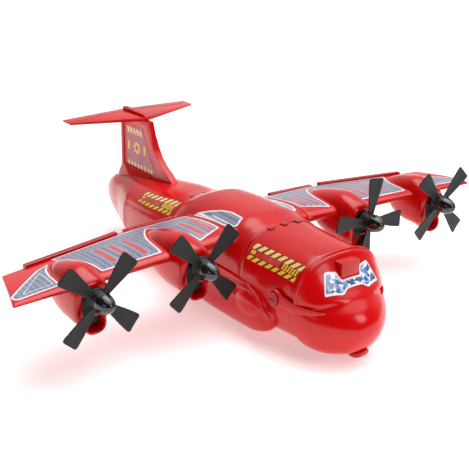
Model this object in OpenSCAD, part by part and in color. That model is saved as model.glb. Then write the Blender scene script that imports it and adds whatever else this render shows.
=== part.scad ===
// Four-engine toy cargo airplane, an assembly of moulded shells.
// Millimetres. +X is forward, +Y is the left wing, +Z is up, the ground is Z = 0.
// Every shape is drawn about the inner propeller axis and then lifted by place().

/* [Datum] */

// Distance from the middle of the airplane's length to the propeller plane
prop_x = 109; // [90:1:130]
// Height of the inner propeller shafts above the ground
prop_z = 81.5; // [75:0.5:90]

/* [Fuselage] */

// Wall thickness of the fuselage mouldings
wall = 2; // [1.5:0.1:3]
// Points around each fuselage section
ring_points = 36; // [24:4:64]
// X of the seam between the nose visor and the front barrel
nose_seam_x = 61; // [50:1:70]
// X of the seam in front of the wing
front_seam_x = -13; // [-25:1:0]
// X of the seam behind the wing
rear_seam_x = -135; // [-150:1:-120]
// Gap left at each moulded seam
seam_gap = 0.4; // [0.2:0.1:0.8]
// Height where the centre cover meets the centre tub
cover_split_z = -12; // [-20:1:-6]

/* [Nose visor] */

// Wall thickness of the visor, thinner so it can pass over the barrel
visor_wall = 1.5; // [1.2:0.1:2]
// X of the visor pivot
pivot_x = 38; // [35:1:48]
// Z of the visor pivot
pivot_z = -27; // [-35:1:-20]
// Radius of the pivot pins
pivot_r = 3; // [2:0.5:4]
// Half height of the arms that carry the visor
arm_half = 6; // [4:0.5:8]

/* [Wing] */

// Span from tip to tip
wing_span = 540; // [480:5:600]
// Half width of the centre cover where the wing panels plug in
wing_root_y = 46; // [42:1:50]
// Y of the kink in the trailing edge
wing_kink_y = 110; // [100:1:130]
// Thickness of the wing at the root
wing_root_thick = 15; // [12:0.5:18]
// Thickness of the wing at the tip
wing_tip_thick = 5.5; // [4:0.5:8]
// Skin thickness of the wing mouldings
wing_skin_t = 1.8; // [1.2:0.1:2.5]

/* [Engines] */

// Y of the inner engines
inner_y = 100; // [90:1:110]
// Y of the outer engines
outer_y = 203.7; // [190:0.1:215]
// Drop of the outer engines below the inner ones
outer_drop = 2.6; // [0:0.1:6]
// Radius of the propellers at the blade tips
prop_r = 44; // [38:0.5:50]
// Blades on each propeller
blade_count = 4; // [2:1:6]
// Pitch of the blades
blade_pitch = 5; // [0:1:40]
// Radius of the propeller shafts
shaft_r = 1.5; // [1:0.1:2]
// Radial clearance of everything that spins on a shaft or pin
run_gap = 0.05; // [0.02:0.01:0.1]

/* [Undercarriage] */

// Radius of the wheels
wheel_r = 9; // [7:0.5:11]
// Width of each wheel
wheel_w = 7; // [5:0.5:9]
// X of the nose wheel
nose_wheel_x = 38; // [30:1:45]
// X of the front pair of main wheels
front_wheel_x = -28; // [-35:1:-22]
// X of the rear pair of main wheels
rear_wheel_x = -88; // [-100:1:-80]
// Y of the middle of each main wheel
wheel_y = 30; // [27:1:32]

/* [Rear ramp] */

// X of the ramp hinge
ramp_hinge_x = -204; // [-215:1:-195]
// Z of the ramp hinge
ramp_hinge_z = -72.5; // [-75:0.5:-70]
// X of the ramp's free end
ramp_end_x = -298; // [-305:1:-280]

/* [Hidden] */

red = [0.80, 0.08, 0.09];
deep_red = [0.66, 0.05, 0.06];
black = [0.15, 0.16, 0.16];
steel = [0.75, 0.76, 0.78];
grey = [0.45, 0.46, 0.48];

// Fuselage stations: X, half width, top Z, bottom Z, squareness
body = [
    [-326, 3, -31, -42, 2],
    [-318, 9, -23, -50, 2.2],
    [-300, 17, -13, -58, 2.3],
    [-270, 27, -6, -67, 2.4],
    [-232, 38.5, -1, -72.5, 2.5],
    [-180, 46, 5.5, -75, 2.5],
    [-135, 48.5, 9.7, -76, 2.5],
    [-125, 50, 15, -77, 2.6],
    [-110, 51, 19.5, -77, 2.6],
    [-75, 52, 21, -77, 2.6],
    [-42, 52, 20.5, -77, 2.6],
    [-25, 51.5, 17.5, -77, 2.6],
    [-13, 51.5, 15.3, -77, 2.6],
    [30, 48.2, 13.8, -75, 2.6],
    [56, 47.5, 12.8, -73.4, 2.6],
    [61.5, 46, 10.4, -72, 2.6]
];

// Nose visor stations, same columns
visor = [
    [61, 50.1, 15.4, -75.2, 2.6],
    [64.5, 49.5, 13.8, -75.7, 2.6],
    [69, 47.7, 8.2, -76, 2.6],
    [75, 45.4, 0, -76, 2.5],
    [82, 41.5, -9, -75, 2.4],
    [90, 35, -17, -72.5, 2.3],
    [97, 27.5, -23, -69, 2.2],
    [103, 18.5, -30, -63.5, 2.1],
    [108, 7, -40, -54, 2]
];

// Engine nacelle stations about the propeller axis, same columns
nacelle_body = [
    [-78, 5, 6, -8, 2],
    [-68, 12, 12, -16, 2.2],
    [-50, 17.3, 18, -27, 2.4],
    [-35, 18, 20.5, -30, 2.4],
    [-20, 17.5, 17, -30, 2.5],
    [-10, 16.5, 13, -27, 2.5]
];

// Chin intake under each nacelle, same columns
nacelle_chin = [
    [-46, 6, -16, -27, 2.2],
    [-25, 9.5, -15, -32, 2.3],
    [-8, 10.5, -15, -34, 2.3]
];

// Landing gear fairing stations, same columns, about its own centre line
fairing = [
    [-125, 3, -42, -64, 2],
    [-90, 11, -30, -72, 2.3],
    [-45, 13, -26, -74, 2.4],
    [5, 13, -27, -73, 2.4],
    [20, 11.5, -31, -69, 2.3],
    [29, 8, -38, -63, 2.2],
    [33, 3, -46, -56, 2]
];

// Side view of the fin as X, Z corners
fin_outline = [
    [-192, 4], [-201, 11], [-212, 17], [-221, 25], [-228, 35],
    [-234, 46], [-239, 60], [-293.5, 60], [-293.5, -14], [-240, -6]
];

fairing_y = 44;
spar_x = [-64, -50];
deck_z = -58;
axle_z = wheel_r - prop_z;
post_x = [-120, -56, -19];
post_y = 10;
latch_y = 16;

// ---- shared shapes ----

module place() {
    translate([prop_x, 0, prop_z]) children();
}

// One rounded section; inset moves it inwards all round
function section(s, inset) =
    let (w = max(s[1] - inset, 0.5),
         h = max((s[2] - s[3]) / 2 - inset, 0.5),
         zc = (s[2] + s[3]) / 2,
         e = 2 / s[4])
    [for (i = [0 : ring_points - 1])
        let (c = cos(360 * i / ring_points), q = sin(360 * i / ring_points))
        [s[0], sign(c) * w * pow(abs(c), e), zc + sign(q) * h * pow(abs(q), e)]];

// Two triangles for each cell between rings r and r + 1 of n points
// The diagonals mirror from the left side to the right side
function bands(rings, n) =
    [for (r = [0 : rings - 2], i = [0 : n - 1])
        let (a = r * n + i, b = a + n, c = (r + 1) * n + (i + 1) % n, d = r * n + (i + 1) % n)
        for (t = 4 * i < n || 4 * i >= 3 * n ? [[a, b, c], [a, c, d]] : [[a, b, d], [b, c, d]])
            t];

// Closed skin through a list of rings with the same number of points
module ring_skin(rings) {
    n = len(rings[0]);
    last = (len(rings) - 1) * n;
    polyhedron(
        points = [for (r = rings, p = r) p],
        faces = concat([[for (i = [0 : n - 1]) i]], bands(len(rings), n),
                       [[for (i = [n - 1 : -1 : 0]) last + i]]));
}

// The stations that shape the stretch from x0 to x1
function near(stations, x0, x1) =
    let (last = len(stations) - 1)
    [for (i = [0 : last])
        if ((i == last || stations[i + 1][0] > x0) && (i == 0 || stations[i - 1][0] < x1))
            stations[i]];

module skin(stations, inset = 0) {
    ring_skin([for (s = stations) section(s, inset)]);
}

module hull_form(x0, x1, inset = 0) {
    skin(near(body, x0, x1), inset);
}

// Everything between two X planes
module slab(x0, x1, z0 = -200, z1 = 200) {
    translate([x0, -300, z0]) cube([x1 - x0, 600, z1 - z0]);
}

module y_cylinder(x, z, r, y0, y1) {
    translate([x, y0, z]) rotate([-90, 0, 0]) cylinder(r = r, h = y1 - y0, $fn = 48);
}

module x_cylinder(x0, x1, r) {
    translate([x0, 0, 0]) rotate([0, 90, 0]) cylinder(r = r, h = x1 - x0, $fn = 48);
}

module fuselage_tube(x0, x1) {
    intersection() {
        difference() {
            hull_form(x0, x1);
            hull_form(x0, x1, wall);
        }
        slab(x0, x1);
    }
}

// ---- wing geometry ----

function wing_le(y) = -30 + (y - 44) * 10 / 226;
function wing_te(y) = y < wing_kink_y ? -106 : -106 + (y - wing_kink_y) * 27 / 142;
function wing_thick(y) =
    wing_root_thick + (y - 44) * (wing_tip_thick - wing_root_thick) / 226;
function wing_mid(y) = 3.2 - 0.006 * (y - 44);

// Thickness of the wing section at chord fraction t, 1 at its thickest
function foil(t) = 2.1 * (1.55 * sqrt(t) - 1.27 * t - 0.25 * t * t) + 0.08 * t;

foil_steps = [0, 0.015, 0.06, 0.15, 0.3, 0.5, 0.7, 0.88, 1];

// Wing section at y; slant moves the trailing edge towards the root
function wing_ring(y, slant, inset) =
    let (le = wing_le(y) - inset, te = wing_te(y - slant) + inset,
         th = wing_thick(y), m = wing_mid(y))
    concat(
        [for (t = foil_steps)
            [le + (te - le) * t, y - slant * t,
             m - max(0.4 * th * foil(t) - inset, 0.2)]],
        [for (k = [len(foil_steps) - 1 : -1 : 1])
            let (t = foil_steps[k])
            [le + (te - le) * t, y - slant * t,
             m + max(0.6 * th * foil(t) - inset, 0.2)]]);

module wing_solid(y0, y1, tip_slant, inset = 0) {
    ring_skin([
        wing_ring(y0, 0, inset),
        if (y0 < wing_kink_y && y1 > wing_kink_y) wing_ring(wing_kink_y, 0, inset),
        wing_ring(y1, tip_slant, inset)
    ]);
}

module whole_wing(inset = 0) {
    wing_solid(wing_root_y + 0.3 + inset, wing_span / 2 - inset, 18, inset);
}

// Keeps what is above or below the wing's parting plane
module parting(upper) {
    rotate([-atan(0.006), 0, 0])
        translate([-120, 0, upper ? 3.3 : -56.7]) cube([120, 290, 60]);
}

module wing_half(upper) {
    difference() {
        intersection() {
            whole_wing();
            parting(upper);
        }
        whole_wing(wing_skin_t);
        spar_shape(0.3);
        hull_form(rear_seam_x, front_seam_x, -0.3);
    }
}

module spar_shape(clear) {
    translate([spar_x[0] - clear, -112 - clear, 0.6 - clear])
        cube([spar_x[1] - spar_x[0] + 2 * clear, 224 + 2 * clear, 5.4 + 2 * clear]);
}

module flap(y0, y1) {
    hull() {
        translate([wing_te(y0) - 4, y0, 0.6]) cube([6, 0.5, 5]);
        translate([wing_te(y1) - 4, y1, 0.6]) cube([5, 0.5, 4]);
    }
}

module flaps() {
    difference() {
        union() {
            flap(60, 116);
            flap(126, 228);
        }
        whole_wing();
    }
}

// ---- fuselage ----

module front_barrel() {
    color(red)
    difference() {
        union() {
            fuselage_tube(front_seam_x + seam_gap / 2, nose_seam_x - seam_gap);
            for (s = [-1, 1])
                y_cylinder(pivot_x, pivot_z, 6.5, s < 0 ? -47 : 41, s < 0 ? -41 : 47);
            axle_blocks(nose_wheel_x, 7);
        }
        y_cylinder(pivot_x, pivot_z, pivot_r, -60, 60);
        wheel_well(nose_wheel_x, 0, wheel_w + 2);
        y_cylinder(nose_wheel_x, axle_z, shaft_r + run_gap, -20, 20);
        belly_holes();
    }
}

// Two bearing blocks for an axle, inner faces at +-y
module axle_blocks(x, y) {
    for (s = [-1, 1])
        translate([x - 4, s < 0 ? -y - 4 : y, -75.6]) cube([8, 4, 10]);
}

module wheel_well(x, y, w) {
    translate([x - wheel_r - 1.5, y - w / 2, -90])
        cube([2 * wheel_r + 3, w, 29]);
}

module belly_holes() {
    for (x = post_x, s = [-1, 1])
        translate([x, s * post_y, -90]) {
            cylinder(r = 1.6, h = 20, $fn = 32);
            cylinder(r = 3.4, h = 14, $fn = 32);
        }
}

module centre_tub() {
    color(red)
    difference() {
        union() {
            intersection() {
                fuselage_tube(rear_seam_x + seam_gap / 2, front_seam_x - seam_gap / 2);
                slab(-140, 0, -100, cover_split_z);
            }
            for (x = [front_wheel_x, rear_wheel_x])
                axle_blocks(x, wheel_y - wheel_w / 2 - 6);
        }
        for (x = [front_wheel_x, rear_wheel_x], s = [-1, 1])
            wheel_well(x, s * wheel_y, wheel_w + 2);
        for (x = [front_wheel_x, rear_wheel_x])
            y_cylinder(x, axle_z, shaft_r + run_gap, -40, 40);
        belly_holes();
    }
}

module centre_cover() {
    color(red)
    difference() {
        union() {
            intersection() {
                hull_form(rear_seam_x, front_seam_x);
                slab(rear_seam_x + seam_gap / 2, front_seam_x - seam_gap / 2,
                     cover_split_z + 0.1, 60);
            }
            wing_solid(30, wing_root_y, 0);
            mirror([0, 1, 0]) wing_solid(30, wing_root_y, 0);
        }
        hull_form(rear_seam_x, front_seam_x, wall);
        spar_shape(0.3);
    }
}

module rear_barrel() {
    color(red)
    difference() {
        union() {
            fuselage_tube(-330, rear_seam_x - seam_gap / 2);
            for (s = [-1, 1])
                y_cylinder(ramp_hinge_x, ramp_hinge_z, 2.6, s < 0 ? -22 : 14, s < 0 ? -14 : 22);
        }
        ramp_region(0.4);
        y_cylinder(ramp_hinge_x, ramp_hinge_z, 3, -13.9, 13.9);
        translate([ramp_hinge_x - 4, -13.9, -80]) cube([4, 27.8, 12]);
        y_cylinder(ramp_hinge_x, ramp_hinge_z, 1, -30, 30);
    }
}

// Plan shape of the ramp, grown by a gap, through the lower skin only
module ramp_region(gap) {
    translate([0, 0, -100]) linear_extrude(56)
        polygon([
            [ramp_hinge_x - 3.6 + gap, 27 + gap], [ramp_hinge_x - 3.6 + gap, -27 - gap],
            [ramp_end_x - gap, -11 - gap], [ramp_end_x - gap, 11 + gap]
        ]);
}

module ramp() {
    color(red)
    difference() {
        union() {
            intersection() {
                difference() {
                    hull_form(ramp_end_x, ramp_hinge_x);
                    hull_form(ramp_end_x, ramp_hinge_x, wall);
                }
                ramp_region(0);
            }
            y_cylinder(ramp_hinge_x, ramp_hinge_z, 2.6, -13.5, 13.5);
            intersection() {
                translate([ramp_hinge_x - 9, -12, -76]) cube([9, 24, 5.2]);
                hull_form(ramp_hinge_x - 9, ramp_hinge_x);
            }
            ramp_ribs();
        }
        y_cylinder(ramp_hinge_x, ramp_hinge_z, 1 + run_gap, -30, 30);
    }
}

module ramp_ribs() {
    intersection() {
        for (x = [-220 : -14 : -276])
            translate([x - 1, -9, -76]) cube([2, 18, 26]);
        difference() {
            hull_form(ramp_end_x, ramp_hinge_x, wall / 2);
            hull_form(ramp_end_x, ramp_hinge_x, wall + 1);
        }
    }
}

module ramp_pin() {
    color(steel) y_cylinder(ramp_hinge_x, ramp_hinge_z, 1, -22, 22);
}

module cargo_floor() {
    color(grey)
    difference() {
        union() {
            intersection() {
                slab(-200, 55, deck_z, deck_z + wall);
                hull_form(-200, 55, wall);
            }
            intersection() {
                for (x = post_x, s = [-1, 1])
                    translate([x, s * post_y, -80]) cylinder(r = 4, h = 22.5, $fn = 32);
                hull_form(-130, -15, wall);
            }
        }
        for (x = post_x, s = [-1, 1])
            translate([x, s * post_y, -80]) cylinder(r = 1.25, h = 16, $fn = 32);
    }
}

module belly_screws() {
    color(steel)
    for (x = post_x, s = [-1, 1])
        translate([x, s * post_y, -76.9]) {
            difference() {
                cylinder(r = 3, h = 0.9, $fn = 32);
                for (a = [0, 90])
                    rotate([0, 0, a]) translate([-2, -0.4, -1]) cube([4, 0.8, 1.5]);
            }
            cylinder(r = 1.25, h = 10, $fn = 32);
        }
}

module seam_latches() {
    color(deep_red)
    difference() {
        latch_blocks();
        hull_form(front_seam_x - 4, front_seam_x + 4);
        hull_form(rear_seam_x - 4, rear_seam_x + 4);
    }
}

module latch_blocks() {
    for (s = [-1, 0, 1]) {
        translate([front_seam_x, s * latch_y, 15.5 - 0.9 * abs(s)]) rotate([s * -8, 0, 0])
            translate([-3.5, -2.5, -2.4]) cube([7, 5, 3]);
        translate([rear_seam_x, s * latch_y, 9.9 - 1.1 * abs(s)]) rotate([s * -10, 0, 0])
            translate([-3, -2.5, -2.4]) cube([6, 5, 3]);
    }
}

// ---- nose visor ----

module nose_visor() {
    color(red)
    difference() {
        skin(visor);
        intersection() {
            skin([for (s = visor) s[0] < 62 ? [60, s[1], s[2], s[3], s[4]] : s], visor_wall);
            slab(50, 106.4);
        }
    }
}

module visor_arm() {
    color(red)
    difference() {
        union() {
            intersection() {
                skin(visor, -2);
                translate([nose_seam_x - 0.5, 20, pivot_z - arm_half])
                    cube([24, 40, 2 * arm_half]);
            }
            translate([0, 52.1, 0]) rotate([90, 0, 0]) linear_extrude(3)
                union() {
                    translate([pivot_x, pivot_z]) circle(r = 8, $fn = 64);
                    polygon([
                        [pivot_x, pivot_z + 8], [64, pivot_z + arm_half],
                        [64, pivot_z - arm_half], [pivot_x, pivot_z - 8]
                    ]);
                }
        }
        skin(visor);
        y_cylinder(pivot_x, pivot_z, pivot_r + run_gap, 40, 60);
    }
}

module pivot_pins() {
    color(deep_red)
    for (s = [-1, 1]) mirror([0, s < 0 ? 1 : 0, 0]) {
        y_cylinder(pivot_x, pivot_z, pivot_r, 41, 52.5);
        difference() {
            y_cylinder(pivot_x, pivot_z, 6.5, 52.4, 54.2);
            translate([pivot_x - 4.5, 53.4, pivot_z - 1]) cube([9, 2, 2]);
        }
    }
}

module visor_lip() {
    color(red)
    difference() {
        hull() {
            translate([85, -8, -75.4]) cube([1, 16, 4]);
            translate([87, -6.5, -76.6]) cube([10, 13, 1]);
            translate([101, -5, -70.5]) cube([3, 10, 4]);
        }
        skin(visor);
    }
}

module roof_block() {
    color(red)
    difference() {
        translate([66, -10.5, -6]) cube([11.5, 21, 15.5]);
        translate([66, -20, 9.5]) rotate([0, 45, 0]) cube([3, 40, 3], center = true);
        skin(visor);
    }
}

// ---- wing panels ----

module wing_top() {
    color(red) wing_half(true);
}

module wing_under() {
    color(red) wing_half(false);
}

module wing_spar() {
    color(grey) spar_shape(0);
}

// ---- engines ----

// Moves children from the propeller axis of an engine to its place
module engine_at(y) {
    translate([0, y, abs(y) > 150 ? -outer_drop : 0]) children();
}

module nacelle_shape(inset, stretch) {
    skin([for (s = nacelle_body)
        [s[0] < -20 ? -20 + (s[0] + 20) * stretch : s[0], s[1], s[2], s[3], s[4]]], inset);
}

module nacelle(y) {
    stretch = abs(y) > 150 ? 1 : 1.17;
    color(red)
    difference() {
        engine_at(y)
            difference() {
                union() {
                    nacelle_shape(0, stretch);
                    skin(nacelle_chin);
                }
                difference() {
                    nacelle_shape(wall, stretch);
                    slab(-100, -66);
                }
                translate([-10.5, -14.5, -22]) cube([5, 29, 30]);
                intersection() {
                    skin(nacelle_chin, wall);
                    slab(-20, 0);
                }
            }
        mirror([0, y < 0 ? 1 : 0, 0]) whole_wing();
    }
}

module engine_plates() {
    color(black)
    for (y = [-outer_y, -inner_y, inner_y, outer_y])
        engine_at(y)
            difference() {
                union() {
                    intersection() {
                        nacelle_shape(wall, 1);
                        slab(-18, -15);
                    }
                    x_cylinder(-18, -9, 5);
                }
                x_cylinder(-20, 0, shaft_r);
            }
}

module prop_shafts() {
    color(steel)
    for (y = [-outer_y, -inner_y, inner_y, outer_y])
        engine_at(y) {
            x_cylinder(-18, 6.2, shaft_r);
            x_cylinder(5.4, 6.4, 2.6);
        }
}

module prop_shape(phase) {
    difference() {
        union() {
            x_cylinder(-6, 5, 8.2);
            x_cylinder(-6, -3.5, 9.6);
            for (k = [0 : blade_count - 1])
                rotate([phase - 90 + k * 360 / blade_count, 0, 0])
                    rotate([0, 0, 90 - blade_pitch])
                        translate([0, 0.8, 0]) rotate([90, 0, 0]) linear_extrude(1.6)
                            polygon([
                                [-2.8, 5], [2.8, 5], [4.2, 14], [7.3, 30], [8.6, 40],
                                [8.2, 43], [6.4, prop_r], [-6.4, prop_r], [-8.2, 43],
                                [-8.6, 40], [-7.3, 30], [-4.2, 14]
                            ]);
        }
        x_cylinder(-20, 20, shaft_r + run_gap);
    }
}

module prop(y, phase) {
    color(black) engine_at(y) prop_shape(phase);
}

module spinner(y) {
    color(black)
    engine_at(y)
        difference() {
            rotate([0, 90, 0]) rotate_extrude($fn = 64)
                polygon([
                    [0, 5], [8.8, 5], [8.7, 7], [8, 10], [6.7, 13], [4.7, 16],
                    [2.5, 18], [0, 18.6]
                ]);
            x_cylinder(4, 8, 3.6);
        }
}

// ---- tail ----

module tail_fin() {
    color(red)
    difference() {
        union() {
            translate([0, 3, 0]) rotate([90, 0, 0]) linear_extrude(6)
                polygon(fin_outline);
            translate([0, 4, 0]) rotate([90, 0, 0]) linear_extrude(8)
                difference() {
                    polygon(fin_outline);
                    offset(delta = -5) polygon(fin_outline);
                }
            hull() {
                translate([-292, -9, -16]) cube([50, 18, 8]);
                translate([-292, -4, 2]) cube([62, 8, 1]);
            }
        }
        hull_form(-294, -190);
    }
}

module tailplane() {
    color(red)
    for (s = [0, 1]) mirror([0, s, 0])
        difference() {
            hull() {
                translate([-292.5, 0, 60]) cube([46.5, 0.5, 4]);
                translate([-290, 77, 60.4]) cube([16.8, 1, 2.2]);
            }
            translate([-300, 12, 61.6]) cube([17.5, 52, 0.6]);
        }
}

module tail_ridge() {
    color(red)
    hull() {
        translate([-291, -3, 64]) cube([1, 6, 3]);
        translate([-246, -2, 64]) cube([1, 4, 1]);
        translate([-250, -3, 64]) cube([1, 6, 2.5]);
    }
}

// ---- undercarriage ----

module fairing_side() {
    color(red)
    difference() {
        translate([0, fairing_y, 0]) skin(fairing);
        hull_form(-126, 34);
    }
}

module wheel(x, y) {
    difference() {
        y_cylinder(x, axle_z, wheel_r, y - wheel_w / 2, y + wheel_w / 2);
        y_cylinder(x, axle_z, shaft_r, y - 20, y + 20);
        for (s = [-1, 1])
            difference() {
                y_cylinder(x, axle_z, wheel_r - 2.5, y + s * wheel_w / 2 - 1, y + s * wheel_w / 2 + 1);
                y_cylinder(x, axle_z, 3.4, y - 10, y + 10);
            }
    }
}

module axle(x, half) {
    color(steel) y_cylinder(x, axle_z, shaft_r, -half, half);
}

// ---- nodes ----

place() front_barrel();
place() centre_tub();
place() centre_cover();
place() rear_barrel();
place() cargo_floor();
place() belly_screws();
place() seam_latches();
place() nose_visor();
place() visor_arm();  // visor_arm_left
place() mirror([0, 1, 0]) visor_arm();  // visor_arm_right
place() visor_lip();
place() roof_block();
place() pivot_pins();
place() ramp();
place() ramp_pin();
place() tail_fin();
place() tailplane();
place() tail_ridge();
place() wing_top();  // wing_top_left
place() wing_under();  // wing_under_left
place() mirror([0, 1, 0]) wing_top();  // wing_top_right
place() mirror([0, 1, 0]) wing_under();  // wing_under_right
place() color(deep_red) flaps();  // flaps_left
place() color(deep_red) mirror([0, 1, 0]) flaps();  // flaps_right
place() wing_spar();
place() nacelle(inner_y);  // nacelle_left_inner
place() nacelle(outer_y);  // nacelle_left_outer
place() nacelle(-inner_y);  // nacelle_right_inner
place() nacelle(-outer_y);  // nacelle_right_outer
place() engine_plates();
place() prop_shafts();
place() prop(inner_y, 173);  // prop_left_inner
place() prop(outer_y, 133);  // prop_left_outer
place() prop(-inner_y, 134);  // prop_right_inner
place() prop(-outer_y, 137);  // prop_right_outer
place() spinner(inner_y);  // spinner_left_inner
place() spinner(outer_y);  // spinner_left_outer
place() spinner(-inner_y);  // spinner_right_inner
place() spinner(-outer_y);  // spinner_right_outer
place() fairing_side();  // fairing_left
place() mirror([0, 1, 0]) fairing_side();  // fairing_right
place() color(black) wheel(nose_wheel_x, 0);  // wheel_nose
place() axle(nose_wheel_x, 11);  // axle_nose
place() color(black) for (s = [-1, 1]) wheel(front_wheel_x, s * wheel_y);  // wheels_front
place() axle(front_wheel_x, wheel_y + 3.5);  // axle_front
place() color(black) for (s = [-1, 1]) wheel(rear_wheel_x, s * wheel_y);  // wheels_rear
place() axle(rear_wheel_x, wheel_y + 3.5);  // axle_rear
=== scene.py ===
# Four-engine toy cargo airplane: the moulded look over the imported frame.
import bpy, bmesh, math
import numpy as np
from mathutils import Matrix, Vector
from mathutils.geometry import delaunay_2d_cdt


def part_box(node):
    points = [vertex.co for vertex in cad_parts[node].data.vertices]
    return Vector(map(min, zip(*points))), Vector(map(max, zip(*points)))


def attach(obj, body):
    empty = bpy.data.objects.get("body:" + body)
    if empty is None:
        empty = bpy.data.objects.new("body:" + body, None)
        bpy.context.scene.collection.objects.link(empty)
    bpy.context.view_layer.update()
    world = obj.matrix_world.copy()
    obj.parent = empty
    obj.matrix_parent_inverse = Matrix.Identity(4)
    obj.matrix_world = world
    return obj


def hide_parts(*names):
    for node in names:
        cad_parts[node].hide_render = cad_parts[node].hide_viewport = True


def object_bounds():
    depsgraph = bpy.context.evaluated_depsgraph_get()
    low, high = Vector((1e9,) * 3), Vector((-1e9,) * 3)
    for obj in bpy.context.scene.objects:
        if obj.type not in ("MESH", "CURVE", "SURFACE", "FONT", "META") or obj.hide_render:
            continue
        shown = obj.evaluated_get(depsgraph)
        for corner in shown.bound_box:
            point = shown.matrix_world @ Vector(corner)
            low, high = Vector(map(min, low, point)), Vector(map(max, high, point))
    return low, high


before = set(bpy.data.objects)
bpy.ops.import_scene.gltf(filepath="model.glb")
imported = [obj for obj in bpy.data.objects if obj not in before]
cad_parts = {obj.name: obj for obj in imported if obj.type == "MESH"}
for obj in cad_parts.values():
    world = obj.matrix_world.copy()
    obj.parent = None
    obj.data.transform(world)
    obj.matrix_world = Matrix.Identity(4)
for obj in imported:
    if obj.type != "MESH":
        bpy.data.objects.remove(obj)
cadBox = [list(corner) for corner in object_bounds()]
scene = bpy.context.scene
scene.view_settings.view_transform = "Standard"

# Shapes are drawn in millimetres about the inner propeller axis, then moved by this datum
spinLow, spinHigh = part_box("spinner_left_inner")
datum = np.array([spinLow.x - 0.005, 0.0, (spinLow.z + spinHigh.z) / 2])


def place(points):
    return np.asarray(points, float) * 0.001 + datum


# Mesh helpers

def linked(name, data):
    obj = bpy.data.objects.new(name, data)
    scene.collection.objects.link(obj)
    return obj


def objectFrom(name, points, faces):
    mesh = bpy.data.meshes.new(name)
    mesh.from_pydata([tuple(p) for p in place(points)], [], [tuple(int(i) for i in f) for f in faces])
    return linked(name, mesh)


def tidyMesh(obj, merge=1e-6):
    bm = bmesh.new()
    bm.from_mesh(obj.data)
    bmesh.ops.remove_doubles(bm, verts=bm.verts, dist=merge)
    bmesh.ops.dissolve_degenerate(bm, dist=1e-7, edges=bm.edges)
    bmesh.ops.recalc_face_normals(bm, faces=bm.faces)
    bm.to_mesh(obj.data)
    bm.free()
    return obj


def together(*parts):  # several (points, faces) pairs as one
    points, faces = [], []
    for somePoints, someFaces in parts:
        faces += [tuple(int(i) + len(points) for i in face) for face in someFaces]
        points += [tuple(q) for q in somePoints]
    return points, faces


def mirrored(part):
    points, faces = part
    return [(x, -y, z) for x, y, z in points], [tuple(reversed(f)) for f in faces]


# quads through rings; closed joins the last ring to the first, else the ends are capped
def loft(rings, closed=False):
    n = len(rings[0])
    count = len(rings)
    points = [tuple(p) for ring in rings for p in ring]
    faces = []
    for r in range(count if closed else count - 1):
        a, b = r * n, ((r + 1) % count) * n
        faces += [(a + i, a + (i + 1) % n, b + (i + 1) % n, b + i) for i in range(n)]
    if not closed:
        faces += [tuple(reversed(range(n))), tuple((count - 1) * n + i for i in range(n))]
    return points, faces


def lathe(profile, centre, axis="x", steps=64):  # profile is (along, radius), closed round the axis
    rings = []
    for k in range(steps):
        a = 2 * math.pi * k / steps
        c, s = math.cos(a), math.sin(a)
        if axis == "x":
            rings.append([(centre[0] + u, centre[1] + r * c, centre[2] + r * s) for u, r in profile])
        else:
            rings.append([(centre[0] + r * s, centre[1] + u, centre[2] + r * c) for u, r in profile])
    return loft(rings, closed=True)


def roundedBox(low, high, radius=0.5, steps=3):
    bm = bmesh.new()
    bmesh.ops.create_cube(bm, size=1)
    size = np.array(high, float) - np.array(low, float)
    middle = (np.array(high, float) + np.array(low, float)) / 2
    for v in bm.verts:
        v.co = Vector(np.array(v.co) * size + middle)
    bmesh.ops.bevel(bm, geom=list(bm.edges), offset=radius, segments=steps, profile=0.5, affect="EDGES")
    part = [tuple(v.co) for v in bm.verts], [tuple(v.index for v in f.verts) for f in bm.faces]
    bm.free()
    return part


def bakeModifiers(obj):  # the evaluated mesh becomes the object's own
    depsgraph = bpy.context.evaluated_depsgraph_get()
    depsgraph.update()
    mesh = bpy.data.meshes.new_from_object(obj.evaluated_get(depsgraph))
    obj.modifiers.clear()
    obj.data = mesh
    return obj


def cutWith(obj, cutters, operation="DIFFERENCE"):
    for cutter in cutters:
        boolean = obj.modifiers.new("cut", "BOOLEAN")
        boolean.operation = operation
        boolean.solver = "EXACT"
        boolean.object = cutter
    bakeModifiers(obj)
    for cutter in cutters:
        bpy.data.objects.remove(cutter, do_unlink=True)
    return obj


def softenEdges(obj, width=0.35, angle=32, steps=2):
    bevel = obj.modifiers.new("soften", "BEVEL")
    bevel.width = width * 0.001
    bevel.segments = steps
    bevel.limit_method = "ANGLE"
    bevel.angle_limit = math.radians(angle)
    bevel.miter_outer = "MITER_ARC"
    return bakeModifiers(obj)


def shedSlivers(obj):  # collapsed faces left behind by cuts and bevels
    bm = bmesh.new()
    bm.from_mesh(obj.data)
    bmesh.ops.dissolve_degenerate(bm, dist=2e-6, edges=bm.edges)
    flat = []
    for face in bm.faces:
        longest = max(e.calc_length() for e in face.edges)
        if 2 * face.calc_area() < 8e-6 * longest and any(len(e.link_faces) > 2 for e in face.edges):
            flat.append(face)
    bmesh.ops.delete(bm, geom=flat, context="FACES")
    bm.to_mesh(obj.data)
    bm.free()


def markWear(obj):  # edgeWear is 1 on sharp outer edges and 0 on open faces
    bm = bmesh.new()
    bm.from_mesh(obj.data)
    bm.normal_update()
    layer = bm.verts.layers.float.new("edgeWear")
    for v in bm.verts:
        sharpest = 0.0
        for e in v.link_edges:
            if len(e.link_faces) == 2:
                sharpest = max(sharpest, e.calc_face_angle_signed(0.0))
        v[layer] = min(max((sharpest - 0.35) / 0.6, 0), 1)
    bm.to_mesh(obj.data)
    bm.free()


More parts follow.
